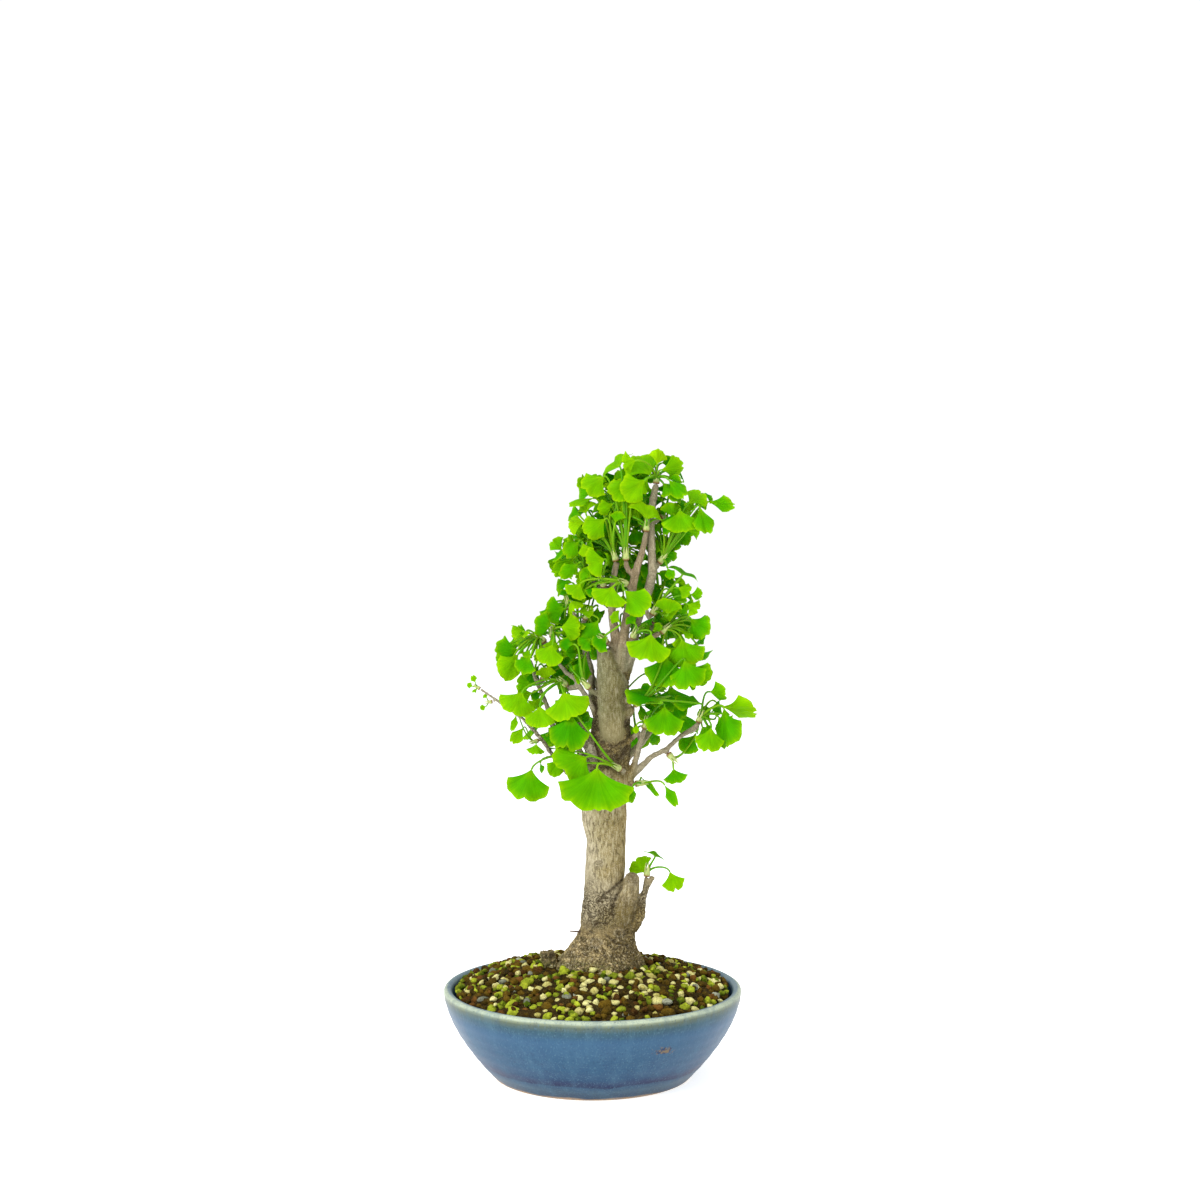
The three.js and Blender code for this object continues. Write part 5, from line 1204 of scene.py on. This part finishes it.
def fitted_leaf(leaf_at, index, near):
    """The leaf at the depth where the frame's node has it, or None where the node has none."""
    best, best_share = None, 0.5
    for shift in DEPTH_STEPS:
        leaf = leaf_at(shift)
        outline = blade_outline(leaf["width"], index)
        wave = blade_wave(outline[:, 0], outline[:, 1], index) * leaf["width"]
        for face in (0.5, -0.5):
            corners = on_blade(leaf, outline[:, 0], outline[:, 1], wave + face * BLADE_THICKNESS)
            share = np.mean([near.find(Vector(corner))[2] < FIT for corner in corners])
            if share > best_share:
                best, best_share = leaf, share
    return best


def leaf_colour(tone, rng):
    """The colour of a tone of painted light and shade, with a little chance in it."""
    stops = [SHADED_LEAF, MID_LEAF, LIT_LEAF, YELLOW_LEAF]
    at = np.clip((tone + TONE_VARIATION * (rng.random() - 0.5)) * 2, 0, 2.999)
    first = int(at)
    return mixed(stops[first], stops[first + 1], at - first)


def margin_reach(outline, turn, index):
    """How far the blade reaches from its joint at each angle, as a share of its width."""
    flat = outline * [BLADE_PROPORTION, 0.5]
    angles, radii = np.arctan2(flat[:, 1], flat[:, 0]), np.hypot(flat[:, 0], flat[:, 1])
    middle = len(outline) // 2
    margin = np.delete(np.arange(len(outline)), [0, middle, -1] if len(outline) > 5 else middle)
    order = margin[np.argsort(angles[margin])]
    reach = np.interp(turn, angles[order], radii[order])
    kernel = np.hanning(7)[1:-1] / np.hanning(7)[1:-1].sum()
    reach = np.convolve(np.pad(reach, 2, mode="edge"), kernel, mode="valid")
    depth = np.interp(0, angles[order], radii[order]) - radii[middle]
    in_cleft = np.clip(1 - np.abs(turn) / CLEFT_SPREAD, 0, 1) ** 1.2
    notch = depth * (0.25 + 0.85 * chance(index + 0.55)) * in_cleft
    lobes = 5 + 4 * chance(index + 0.15)
    scallops = np.sin(turn * lobes * 2.2 + 6 * chance(index + 0.25)) * (0.5 + 0.5 * chance(index + 0.35))
    fine = np.array([noise.noise(Vector((angle * 13, index * 1.7, 0.5))) for angle in turn])
    return reach - notch + 0.5 * SCALLOP * scallops + 0.9 * SCALLOP * fine


def blade_mesh(leaf, index, colour):
    """A blade as a thin closed sheet: points, faces, fan coordinates and colours.

    `q` runs across the fan from -1 to 1, and `s` out from the joint from nearly 0 to 1.
    """
    width = leaf["width"]
    columns, rows = next(grid for least, *grid in BLADE_GRIDS if width > least)
    outline = blade_outline(width, index)
    q = np.linspace(-1, 1, columns + 1)
    q = q - 0.06 * np.sin(2 * math.pi * q)
    s = JOINT + (1 - JOINT) * np.linspace(0, 1, rows + 1)[:, None] ** 0.85
    flat = outline * [BLADE_PROPORTION, 0.5]
    limit = np.arctan2(np.abs(flat[:, 1]), flat[:, 0]).max()
    turn = q * JOINT_SPREAD + (q * limit - q * JOINT_SPREAD) * s**FLARE
    radius = margin_reach(outline, q * limit, index) * s
    along = radius * np.cos(turn) / BLADE_PROPORTION
    across = radius * np.sin(turn) / 0.5
    ruffle = np.sin(q * (7 + 5 * chance(index + 0.65)) + 6 * chance(index + 0.75)) * s**3
    pleat = np.array([noise.noise(Vector((v * 6, index * 2.3, 1.5))) for v in q]) * s**1.5
    ruffle = RUFFLE * width * (ruffle + 1.2 * pleat) * (2 if "fold" in leaf else 1)
    wave = blade_lift(leaf, along, across, index) + ruffle
    sheet = LEAF_SHEET * (1 - 0.45 * s**4) * min(1, 0.5 + width / 40)
    offs = ((wave + face * sheet).ravel() for face in (0.5, -0.5))
    points = [on_blade(leaf, along.ravel(), across.ravel(), off) for off in offs]

    mottle = np.array([[noise.noise(Vector((u * 2.4, v * 2.4, index * 1.3))) for u in q] for v in s[:, 0]])
    tint = mixed(colour, YELLOW_LEAF, 0.3 * np.clip(1 - 2.4 * s, 0, 1)) * (1 + 0.16 * mottle)[..., None]
    # Painted highlight: the margin turns yellow-green.
    tint = mixed(tint, YELLOW_LEAF, 0.4 * s**10)
    colours = np.concatenate([tint, tint * PALER_BELOW]).reshape(-1, 4)
    fan = np.stack(np.broadcast_arrays(q / 2 + 0.5, s), axis=-1).reshape(-1, 2)
    faces = sheet_faces(rows + 1, columns + 1)
    handed = np.dot(np.cross(leaf["axis"], leaf["side"]), leaf["normal"]) > 0
    faces = faces if handed else faces[:, ::-1]
    return np.vstack(points), faces.tolist(), np.vstack([fan, fan]), colours


def tube(points, radii, sides, start):
    """A closed round tube along points, its first side direction as near to `start` as it can be."""
    rings = []
    side = start
    turn = np.arange(sides) / sides * 2 * math.pi
    for i, point in enumerate(points):
        tangent = unit(points[min(i + 1, len(points) - 1)] - points[max(i - 1, 0)])
        side = unit(side - tangent * (side @ tangent))
        up = np.cross(tangent, side)
        rings.append(point + radii[i] * (np.outer(np.cos(turn), side) + np.outer(np.sin(turn), up)))
    corner = np.arange(len(points) * sides).reshape(-1, sides)
    after = np.roll(corner, -1, axis=1)
    walls = np.stack([corner[:-1], after[:-1], after[1:], corner[1:]], axis=-1).reshape(-1, 4)
    return np.vstack(rings), [*walls.tolist(), corner[0, ::-1].tolist(), corner[-1].tolist()]


def petiole_path(leaf, bud, index):
    """The line of a stalk, from beside the bud's heart to the blade's joint."""
    size, heart, lift = bud["size"], bud["heart"], bud["lift"]
    outward = leaf["base"] - heart
    outward = unit(outward - lift * (outward @ lift))
    climb = ROOT_CLIMB * BUD_LENGTH * size * (chance(index + 0.8) - 0.5)
    root = heart + outward * ROOT_SPREAD * BUD_RADIUS * size + lift * climb
    reach = np.linalg.norm(leaf["base"] - root)
    rise = np.clip(PETIOLE_RISE * reach, LEAST_RISE, MOST_RISE)
    run_in = min(PETIOLE_RUN_IN * reach, MOST_RUN_IN)
    corners = [root, root + lift * rise, leaf["base"] - leaf["axis"] * run_in, leaf["base"]]
    return bezier(corners, 6 + int(reach / 5))


def petiole_mesh(leaf, bud, index, rng):
    """A leaf's stalk, which widens at its foot and runs a little way into the blade."""
    path = petiole_path(leaf, bud, index)
    path = np.vstack([path, leaf["base"] + leaf["axis"] * 0.05 * leaf["width"]])
    share = np.linspace(0, 1, len(path))
    radii = bud["size"] * (0.62 + 0.45 * (1 - share) ** 3 + 0.1 * share**6)
    radii[-1] *= 0.5
    points, faces = tube(path, radii, STALK_SIDES, leaf["side"])
    reddish = np.repeat(np.clip(1 - 5 * share, 0, 1), STALK_SIDES) * 0.4 * rng.random()
    shaded = np.repeat(0.65 + 0.35 * share, STALK_SIDES)[:, None]
    colours = mixed(mixed(STALK, YELLOW_LEAF, 0.3 * rng.random()) * shaded, BUD_FOOT, reddish)
    return points, faces, np.zeros((len(points), 2)), colours


def bud_scale(bud, side, up, whorl, k, rng):
    """Scale `k` of one of the bud's whorls, a thin sheet curved round it: points, faces and colours."""
    low, high, radius = WHORLS[whorl]
    size = bud["size"]
    length = BUD_LENGTH * size
    middle = (k + 0.5 * whorl + 0.2 * rng.random()) / SCALES_PER_WHORL * 2 * math.pi
    u, v = np.meshgrid(np.linspace(-1, 1, 5), np.linspace(0, 1, 6))
    turn = middle + u * SCALE_SPREAD * np.clip(1 - v**1.6, 0.03, 1) ** 0.7
    bulge = radius * (1 + 0.12 * np.sin(v * math.pi) - 0.34 * v**2) + 0.22 * rng.random() * v**2
    level = (low + (high - low) * v) * length + GAP * 0.4
    around = np.cos(turn)[..., None] * side + np.sin(turn)[..., None] * up
    shell = []
    for off in (SCALE_SHEET / 2, -SCALE_SHEET / 2):
        ring = (size * BUD_RADIUS * bulge + off)[..., None] * around
        shell.append((bud["tip"] + level[..., None] * bud["lift"] + ring).reshape(-1, 3))
    shade = mixed(BUD_FOOT, BUD_TIP, smoothstep(0.05, 0.5, v.ravel() + 0.3 * whorl))
    faces = sheet_faces(*v.shape)[:, [0, 3, 2, 1]]
    return np.vstack(shell), faces, np.vstack([shade, shade])


def bud_mesh(bud, rng):
    """The spur's bud: a short core in two whorls of overlapping scales."""
    tip, lift, size = bud["tip"], bud["lift"], bud["size"]
    side = unit(np.cross(lift, [0.3, 1, 0.2]))
    up = np.cross(lift, side)
    length = BUD_LENGTH * size
    shares = np.array([0, 0.25, 0.55, 0.8, 1])
    core = tip + np.outer(GAP * 0.5 + shares * length * 0.9, lift)
    radii = size * BUD_RADIUS * np.array([0.95, 0.92, 0.78, 0.6, 0.25])
    core_points, all_faces = tube(core, radii, CORE_SIDES, side)
    all_points = [core_points]
    all_colours = [mixed(BUD_FOOT, BUD_TIP, np.repeat(shares, CORE_SIDES))]
    total = len(core_points)
    for whorl in range(len(WHORLS)):
        for k in range(SCALES_PER_WHORL):
            points, faces, colours = bud_scale(bud, side, up, whorl, k, rng)
            all_points.append(points)
            all_faces.extend((faces + total).tolist())
            all_colours.append(colours)
            total += len(points)
    return np.vstack(all_points), all_faces, np.zeros((total, 2)), np.vstack(all_colours)


def leaf_finish():
    """Ginkgo blade: satin, with fine veins that radiate from the joint, and some light let through."""
    leaf = Finish("leaf_blade", Roughness=0.55, Specular_IOR_Level=0.02)
    fan = leaf.add("UVMap", "UV", uv_map="fan")
    veins = leaf.noise(1.0, 2, 0.5, leaf.stretched((84, 1.6, 1), fan))
    broad = leaf.noise(1.0, 2, 0.5, leaf.stretched((22, 1.2, 1), fan))
    base = leaf.flecked(leaf.attribute("tint"), veins, 0.4, 0.75, 0.5, (1.5, 1.2, 1, 1), "MULTIPLY")
    base = leaf.blend(leaf.between(broad, 0.3, 0.6, 0.5, 0), base, (0.6, 0.75, 0.7, 1), "MULTIPLY")
    base = leaf.flecked(base, leaf.noise(160, 3), 0.5, 0.75, 0.5, (1.4, 1.15, 1, 1), "MULTIPLY")
    lines = leaf.bump(veins, 0.22, 0.6, leaf.bump(broad, 0.5, 0.5))
    leaf.set(Base_Color=base, Roughness=leaf.between(veins, 0.3, 0.8, 0.45, 0.6), Normal=lines)
    lit = leaf.blend(1.0, base, (1.1, 1.25, 0.6, 1), "MULTIPLY")
    through = leaf.add("BsdfTranslucent", 0, {"Color": lit, "Normal": lines})
    both = leaf.add("MixShader", 0, {0: LIGHT_LET_THROUGH, 1: leaf.shader.outputs[0], 2: through})
    leaf.feed(leaf.nodes["Material Output"].inputs["Surface"], both)
    return leaf.material


def stalk_finish():
    stalk = Finish("leaf_stalk", Roughness=0.5, Specular_IOR_Level=0.06, Subsurface_Weight=0.1)
    flecks = stalk.noise(900, 3)
    base = stalk.flecked(stalk.attribute("tint"), flecks, 0.5, 0.72, 0.35, linear(120, 92, 60))
    stalk.set(Base_Color=base, Subsurface_Scale=0.6 * MM, Normal=stalk.bump(flecks, 0.15, 0.4))
    return stalk.material


def tuft_object(name, blades, stalks, materials):
    """One piece from blade meshes and stalk meshes, which take one of the two materials each."""
    points, faces, fans, colours = zip(*blades, *stalks)
    starts = np.cumsum([0, *(len(part) for part in points)]).tolist()
    all_faces = [[corner + start for corner in face] for start, part in zip(starts, faces) for face in part]
    blade_faces = sum(len(part) for part in faces[:len(blades)])
    thing = mesh_object(name, np.vstack(points), all_faces, materials)
    on_stalk = np.arange(len(all_faces)) >= blade_faces
    thing.data.polygons.foreach_set("material_index", on_stalk.astype(np.int32))
    colour_points(thing, "tint", np.clip(np.vstack(colours), 0, 1))
    corners = np.empty(len(thing.data.loops), np.int32)
    thing.data.loops.foreach_get("vertex_index", corners)
    layer = thing.data.uv_layers.new(name="fan")
    layer.data.foreach_set("uv", np.vstack(fans)[corners].astype(np.float32).ravel())
    thing.data.set_sharp_from_angle(angle=math.radians(62))
    return thing


# Young leaves that fill each tuft: (tuft, how many, (across, up) of the middle of the patch they hang
# in, its half width and half height, (nearest, farthest) depth, (least, greatest) width).
YOUNG_LEAVES = [
    ("leaves_top", 7, (31, 403), (16, 9), (-10, 14), (10, 16)),
    ("leaves_top", 6, (52, 400), (9, 11), (-8, 14), (8, 14)),
    ("leaves_leader", 8, (32, 381), (15, 10), (-10, 16), (11, 17)),
    ("leaves_leader", 4, (40, 354), (9, 9), (2, 16), (9, 14)),
    ("leaves_high_right", 10, (54, 372), (17, 10), (-8, 20), (12, 18)),
    ("leaves_high_right", 7, (46, 353), (10, 12), (3, 20), (11, 16)),
    ("leaves_high_right", 6, (38, 370), (9, 16), (3, 22), (12, 17)),
    ("leaves_high_right", 3, (74, 383), (11, 6), (-8, 10), (9, 13)),
    ("leaves_high_left", 12, (3, 372), (15, 14), (-10, 18), (10, 17)),
    ("leaves_high_middle", 14, (12, 394), (17, 13), (-10, 18), (12, 19)),
    ("leaves_high_middle", 11, (18, 366), (13, 15), (0, 20), (11, 17)),
    ("leaves_high_middle", 8, (29, 352), (10, 14), (4, 20), (10, 15)),
    ("leaves_left_crown", 13, (-12, 350), (13, 15), (-10, 14), (8, 14)),
    ("leaves_left_inner", 9, (3, 337), (13, 12), (-12, 14), (9, 14)),
    ("leaves_middle_front", 10, (8, 322), (18, 9), (-6, 16), (10, 15)),
    ("leaves_left_tip", 7, (-22, 311), (12, 10), (-8, 14), (8, 14)),
    ("leaves_left_end", 16, (-47, 284), (16, 15), (-12, 14), (7, 13)),
    ("leaves_left_fork", 9, (-25, 290), (13, 13), (-8, 14), (8, 14)),
    ("leaves_inner_left", 9, (-4, 299), (11, 14), (-8, 16), (8, 14)),
    ("leaves_inner_middle", 5, (-1, 290), (7, 10), (0, 14), (8, 12)),
    ("leaves_inner_right", 5, (34, 296), (8, 11), (-2, 14), (8, 13)),
    ("leaves_right_high", 11, (58, 317), (15, 14), (-8, 16), (9, 15)),
    ("leaves_right_middle", 10, (62, 288), (15, 18), (-4, 18), (11, 17)),
    ("leaves_left_middle", 7, (-32, 256), (17, 12), (-6, 16), (10, 16)),
    ("leaves_left_low", 6, (-31, 268), (13, 8), (0, 14), (8, 13)),
    ("leaves_trunk_left", 5, (-14, 276), (9, 12), (-2, 14), (8, 14)),
    ("leaves_trunk_right", 7, (50, 262), (16, 12), (2, 20), (11, 17)),
    ("leaves_right_end", 6, (83, 236), (13, 12), (-8, 14), (9, 15)),
    ("leaves_low_front", 3, (-8, 212), (12, 9), (-14, 8), (11, 16)),
    ("leaves_low_left", 3, (-18, 214), (9, 8), (0, 14), (9, 13)),
    ("leaves_back_leader", 8, (6, 354), (14, 16), (8, 30), (12, 18)),
    ("leaves_back_leader", 10, (12, 340), (20, 14), (12, 40), (11, 17)),
    ("leaves_back_crown", 7, (38, 350), (14, 14), (10, 34), (11, 17)),
    ("leaves_back_leader", 6, (26, 346), (8, 12), (10, 30), (12, 18)),
    ("leaves_back_leader", 5, (8, 330), (12, 9), (10, 30), (12, 18)),
    ("leaves_back_leader", 5, (22, 334), (8, 8), (4, 26), (11, 16)),
    ("leaves_back_crown", 8, (26, 380), (15, 14), (8, 30), (12, 18)),
    ("leaves_back_top", 5, (46, 376), (10, 13), (4, 22), (10, 16)),
    ("leaves_back_high", 5, (46, 302), (16, 14), (16, 40), (12, 18)),
    ("leaves_back_high", 6, (44, 324), (14, 12), (10, 36), (11, 17)),
    ("leaves_back_high", 7, (33, 331), (7, 14), (6, 30), (12, 18)),
    ("leaves_back_middle", 5, (-10, 327), (10, 10), (8, 30), (11, 17)),
    ("leaves_back_middle", 6, (-14, 302), (16, 14), (14, 40), (11, 17)),
    ("leaves_back_middle", 5, (-10, 278), (16, 14), (18, 44), (12, 18)),
    ("leaves_back_low", 4, (-18, 232), (16, 12), (20, 48), (12, 18)),
    ("leaves_back_right", 5, (48, 242), (16, 12), (20, 48), (12, 18)),
]
YOUNG_TRIES = 50
SHORTEST_STALK = 5
LONGEST_STALK = 56
ASTRAY = 1.1  # how far a young blade points off the line from its bud
ROLL_RANGE = math.radians(130)
MOST_FOLD = 0.6  # a young blade's side edges lie back by up to this share of its width
ROOM = 0.7  # the blades made here keep twice this clear of each other
HULL_ROWS, HULL_COLUMNS = 5, 9
NUMBERS_PER_TUFT = 40


class Crowd:
    """The blades and stalks that hang already, to find places where a new leaf hangs clear."""

    def __init__(self, wood):
        triangles = [tuple(face.vertices) for face in wood.data.polygons]
        self.wood = bvhtree.BVHTree.FromPolygons(points_of(wood).tolist(), triangles)
        self.lows, self.highs, self.trees = [], [], []

    @staticmethod
    def hull(leaf, index):
        """A blade's coarse hull: one sheet `ROOM` above it and another as far below."""
        outline = blade_outline(leaf["width"], index)
        corner = np.linspace(0, len(outline) - 1, HULL_COLUMNS)
        edges = [np.interp(corner, np.arange(len(outline)), column) for column in outline.T]
        along, across = (np.outer(np.linspace(0, 1, HULL_ROWS), edge).ravel() for edge in edges)
        off = blade_lift(leaf, along, across, index)
        points = np.vstack([on_blade(leaf, along, across, off + side * ROOM) for side in (1, -1)])
        quads = grid_faces(HULL_ROWS, HULL_COLUMNS)
        return points, np.vstack([quads, quads + HULL_ROWS * HULL_COLUMNS]).tolist()

    @staticmethod
    def tree(points, faces):
        """A search tree of a mesh, and the low and the high corner of its box."""
        return bvhtree.BVHTree.FromPolygons(points.tolist(), faces), points.min(axis=0), points.max(axis=0)

    def shapes(self, leaf, bud, index):
        """The search tree and the box of a leaf's blade, and those of the loose part of its stalk."""
        path = petiole_path(leaf, bud, index)
        loose = path[int(0.35 * len(path)):]
        stalk = tube(loose, np.full(len(loose), 0.8), 3, leaf["side"])
        return self.tree(*self.hull(leaf, index)), self.tree(*stalk)

    def near(self, low, high, kinds):
        """The search trees of some kinds whose boxes meet a box."""
        if not self.trees:
            return []
        apart = np.any((np.array(self.lows) > high) | (np.array(self.highs) < low), axis=1)
        return [self.trees[i][0] for i in np.nonzero(~apart)[0] if self.trees[i][1] in kinds]

    def free(self, leaf, bud, index):
        """Whether a leaf hangs clear: its blade of all else, and its stalk of wood and blades."""
        (blade, *blade_box), (stalk, *stalk_box) = self.shapes(leaf, bud, index)
        if blade.overlap(self.wood) or stalk.overlap(self.wood):
            return False
        if any(blade.overlap(other) for other in self.near(*blade_box, ("blade", "stalk"))):
            return False
        return not any(stalk.overlap(other) for other in self.near(*stalk_box, ("blade",)))

    def add(self, leaf, bud, index):
        for (tree, low, high), kind in zip(self.shapes(leaf, bud, index), ("blade", "stalk")):
            self.trees.append((tree, kind))
            self.lows.append(low)
            self.highs.append(high)


def young_leaf(bud, patch, rng):
    """A leaf's frame somewhere in a patch of the elevation, drooping away from its bud."""
    (across, up), (half_across, half_up), (nearest, farthest), (least, greatest) = patch
    turn, reach = 2 * math.pi * rng.random(), math.sqrt(rng.random())
    depth = nearest + (farthest - nearest) * rng.random()
    across = across + half_across * reach * math.cos(turn)
    middle = place(across, up + half_up * reach * math.sin(turn), depth)
    width = least + (greatest - least) * rng.random()
    length = (BLADE_PROPORTION + 0.2 * rng.random()) * width
    astray = np.array([rng.random() - 0.5, rng.random() - 0.5, 0.2 - 1.3 * rng.random()])
    axis = unit(unit(middle - bud["heart"]) + ASTRAY * astray)
    side = unit(np.cross(axis, [0.2, -1, 0.35]))
    normal = np.cross(side, axis)
    roll = ROLL_RANGE * (rng.random() - 0.5)
    return {
        "base": middle - 0.5 * length * axis, "axis": axis, "side": turned(side, axis, roll),
        "normal": turned(normal, axis, roll), "width": width, "length": length,
        "fold": MOST_FOLD * rng.random() ** 2,
    }


def young_leaves(name, bud, crowd, first, rng):
    """Leaves that fill the patches of a tuft, as (leaf, number, tone)."""
    grown = []
    patches = [patch for tuft, count, *patch in YOUNG_LEAVES if tuft == name for _ in range(count)]
    for patch in patches:
        for _ in range(YOUNG_TRIES):
            leaf = young_leaf(bud, patch, rng)
            index = first + len(grown)
            stalk = np.linalg.norm(leaf["base"] - bud["heart"])
            if SHORTEST_STALK < stalk < LONGEST_STALK and crowd.free(leaf, bud, index):
                crowd.add(leaf, bud, index)
                shaded = smoothstep(-4, 12, leaf["base"][1])
                grown.append((leaf, index, float(0.82 - 0.52 * shaded + 0.4 * (rng.random() - 0.5))))
                break
    return grown


def bud_at(at, rise, size):
    """A bud on the tip of a shoot; stalks start near its heart."""
    tip, lift = place(*at), unit(np.array(rise, float))
    return {"tip": tip, "lift": lift, "size": size, "heart": tip + lift * (GAP + HEART * BUD_LENGTH * size)}


def large_leaves(name, rules, first):
    """A tuft's leaves that the frame's node has too, as (leaf, number, tone)."""
    node_points = points_of(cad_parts[name])
    near = kdtree.KDTree(len(node_points))
    for i, point in enumerate(node_points):
        near.insert(point, i)
    near.balance()
    grown = []
    for index, (rule, tone) in enumerate(rules, first):
        leaf = fitted_leaf(partial(rule, index), index, near)
        if leaf:
            # Far-side leaves, which have no tone given, get a darker one: painted shade.
            grown.append((leaf, index, 0.15 + 0.5 * chance(index + 0.45) if tone is None else tone))
    return grown


def make_leaves(wood):
    materials = [leaf_finish(), stalk_finish()]
    rng = random.Random(5)
    crowd = Crowd(wood)
    planned = []
    for name, at, rise, size, rows in TUFTS:
        rules = [(partial(elevation_leaf, row), row[7]) for row in rows]
        planned.append((name, bud_at(at, rise, size), rules))
    for name, at, rise, count, usual in BACK_TUFTS:
        bud = bud_at(at, rise, 1)
        rules = [(partial(fanned_leaf, bud, count, usual, k), None) for k in range(count)]
        planned.append((name, bud, rules))
    tufts = []
    first = 1
    for name, bud, rules in planned:
        grown = large_leaves(name, rules, first)
        for leaf, index, _ in grown:
            crowd.add(leaf, bud, index)
        tufts.append((name, bud, grown))
        first += len(rules)
    for k, (name, bud, grown) in enumerate(tufts):
        leaves = grown + young_leaves(name, bud, crowd, first + NUMBERS_PER_TUFT * k, rng)
        blades = [blade_mesh(leaf, index, leaf_colour(tone, rng)) for leaf, index, tone in leaves]
        stalks = [petiole_mesh(leaf, bud, index, rng) for leaf, index, _ in leaves]
        spray = tuft_object(name + "_spray", blades, [bud_mesh(bud, rng), *stalks], materials)
        finished(spray, "leaf", name)


# ---- floor, light and camera --------------------------------------------------------------------

FLOOR_REACH = 6000
SURROUND_LIGHT = 0.62
SURROUND_SEEN = 1.05
LIGHT_AIM = Vector((0, 0, 0.2))
# Square lamps: [name, place, side, power].
LAMPS = [
    ("key", (-1.1, -1.3, 1.2), 0.9, 26),
    ("fill", (1.4, -1.0, 0.9), 1.4, 3),
    ("top", (0.1, 0.1, 1.7), 1.2, 12),
]
SENSOR_WIDTH = 36
LENS = 49.28


def make_floor():
    """A pale floor."""
    paint = Finish("studio_floor", Roughness=0.8, Specular_IOR_Level=0.1, Emission_Strength=0.7)
    base = paint.ramp(paint.noise(3, 2), [(0.3, (250, 250, 250)), (0.7, (253, 253, 253))])
    paint.set(Emission_Color=(1, 1, 1, 1), Base_Color=base)
    corners = [(x * FLOOR_REACH, y * FLOOR_REACH, 0) for x, y in ((-1, -1), (1, -1), (1, 1), (-1, 1))]
    mesh_object("studio_floor", corners, [(0, 1, 2, 3)], [paint.material])


def make_light():
    """Soft light from the front left, under a white surround that shows brighter than it lights."""
    world = bpy.data.worlds.new("studio")
    bpy.context.scene.world = world
    world.use_nodes = True
    nodes, links = world.node_tree.nodes, world.node_tree.links
    seen = nodes.new("ShaderNodeLightPath")
    strength = nodes.new("ShaderNodeMapRange")
    strength.inputs["To Min"].default_value = SURROUND_LIGHT
    strength.inputs["To Max"].default_value = SURROUND_SEEN
    links.new(seen.outputs["Is Camera Ray"], strength.inputs["Value"])
    links.new(strength.outputs[0], nodes["Background"].inputs["Strength"])
    nodes["Background"].inputs["Color"].default_value = (1, 1, 1, 1)
    for name, at, side, power in LAMPS:
        data = bpy.data.lights.new(name, "AREA")
        data.shape = "SQUARE"
        data.size = side
        data.energy = power
        lamp = bpy.data.objects.new(name, data)
        lamp.location = at
        lamp.rotation_euler = (LIGHT_AIM - Vector(at)).to_track_quat("-Z", "Y").to_euler()
        bpy.context.scene.collection.objects.link(lamp)
    bpy.context.scene.view_settings.view_transform = "Standard"


def make_camera():
    data = bpy.data.cameras.new("camera")
    data.sensor_width = SENSOR_WIDTH
    data.lens = LENS
    camera = bpy.data.objects.new("camera", data)
    camera.location = EYE * MM
    camera.rotation_euler = (math.pi / 2, 0, 0)
    bpy.context.scene.collection.objects.link(camera)
    bpy.context.scene.camera = camera


make_camera()
make_light()
make_floor()
make_pot()
dress_screens()
wood = make_wood()
make_soil(clearance_test(wood))
make_leaves(wood)
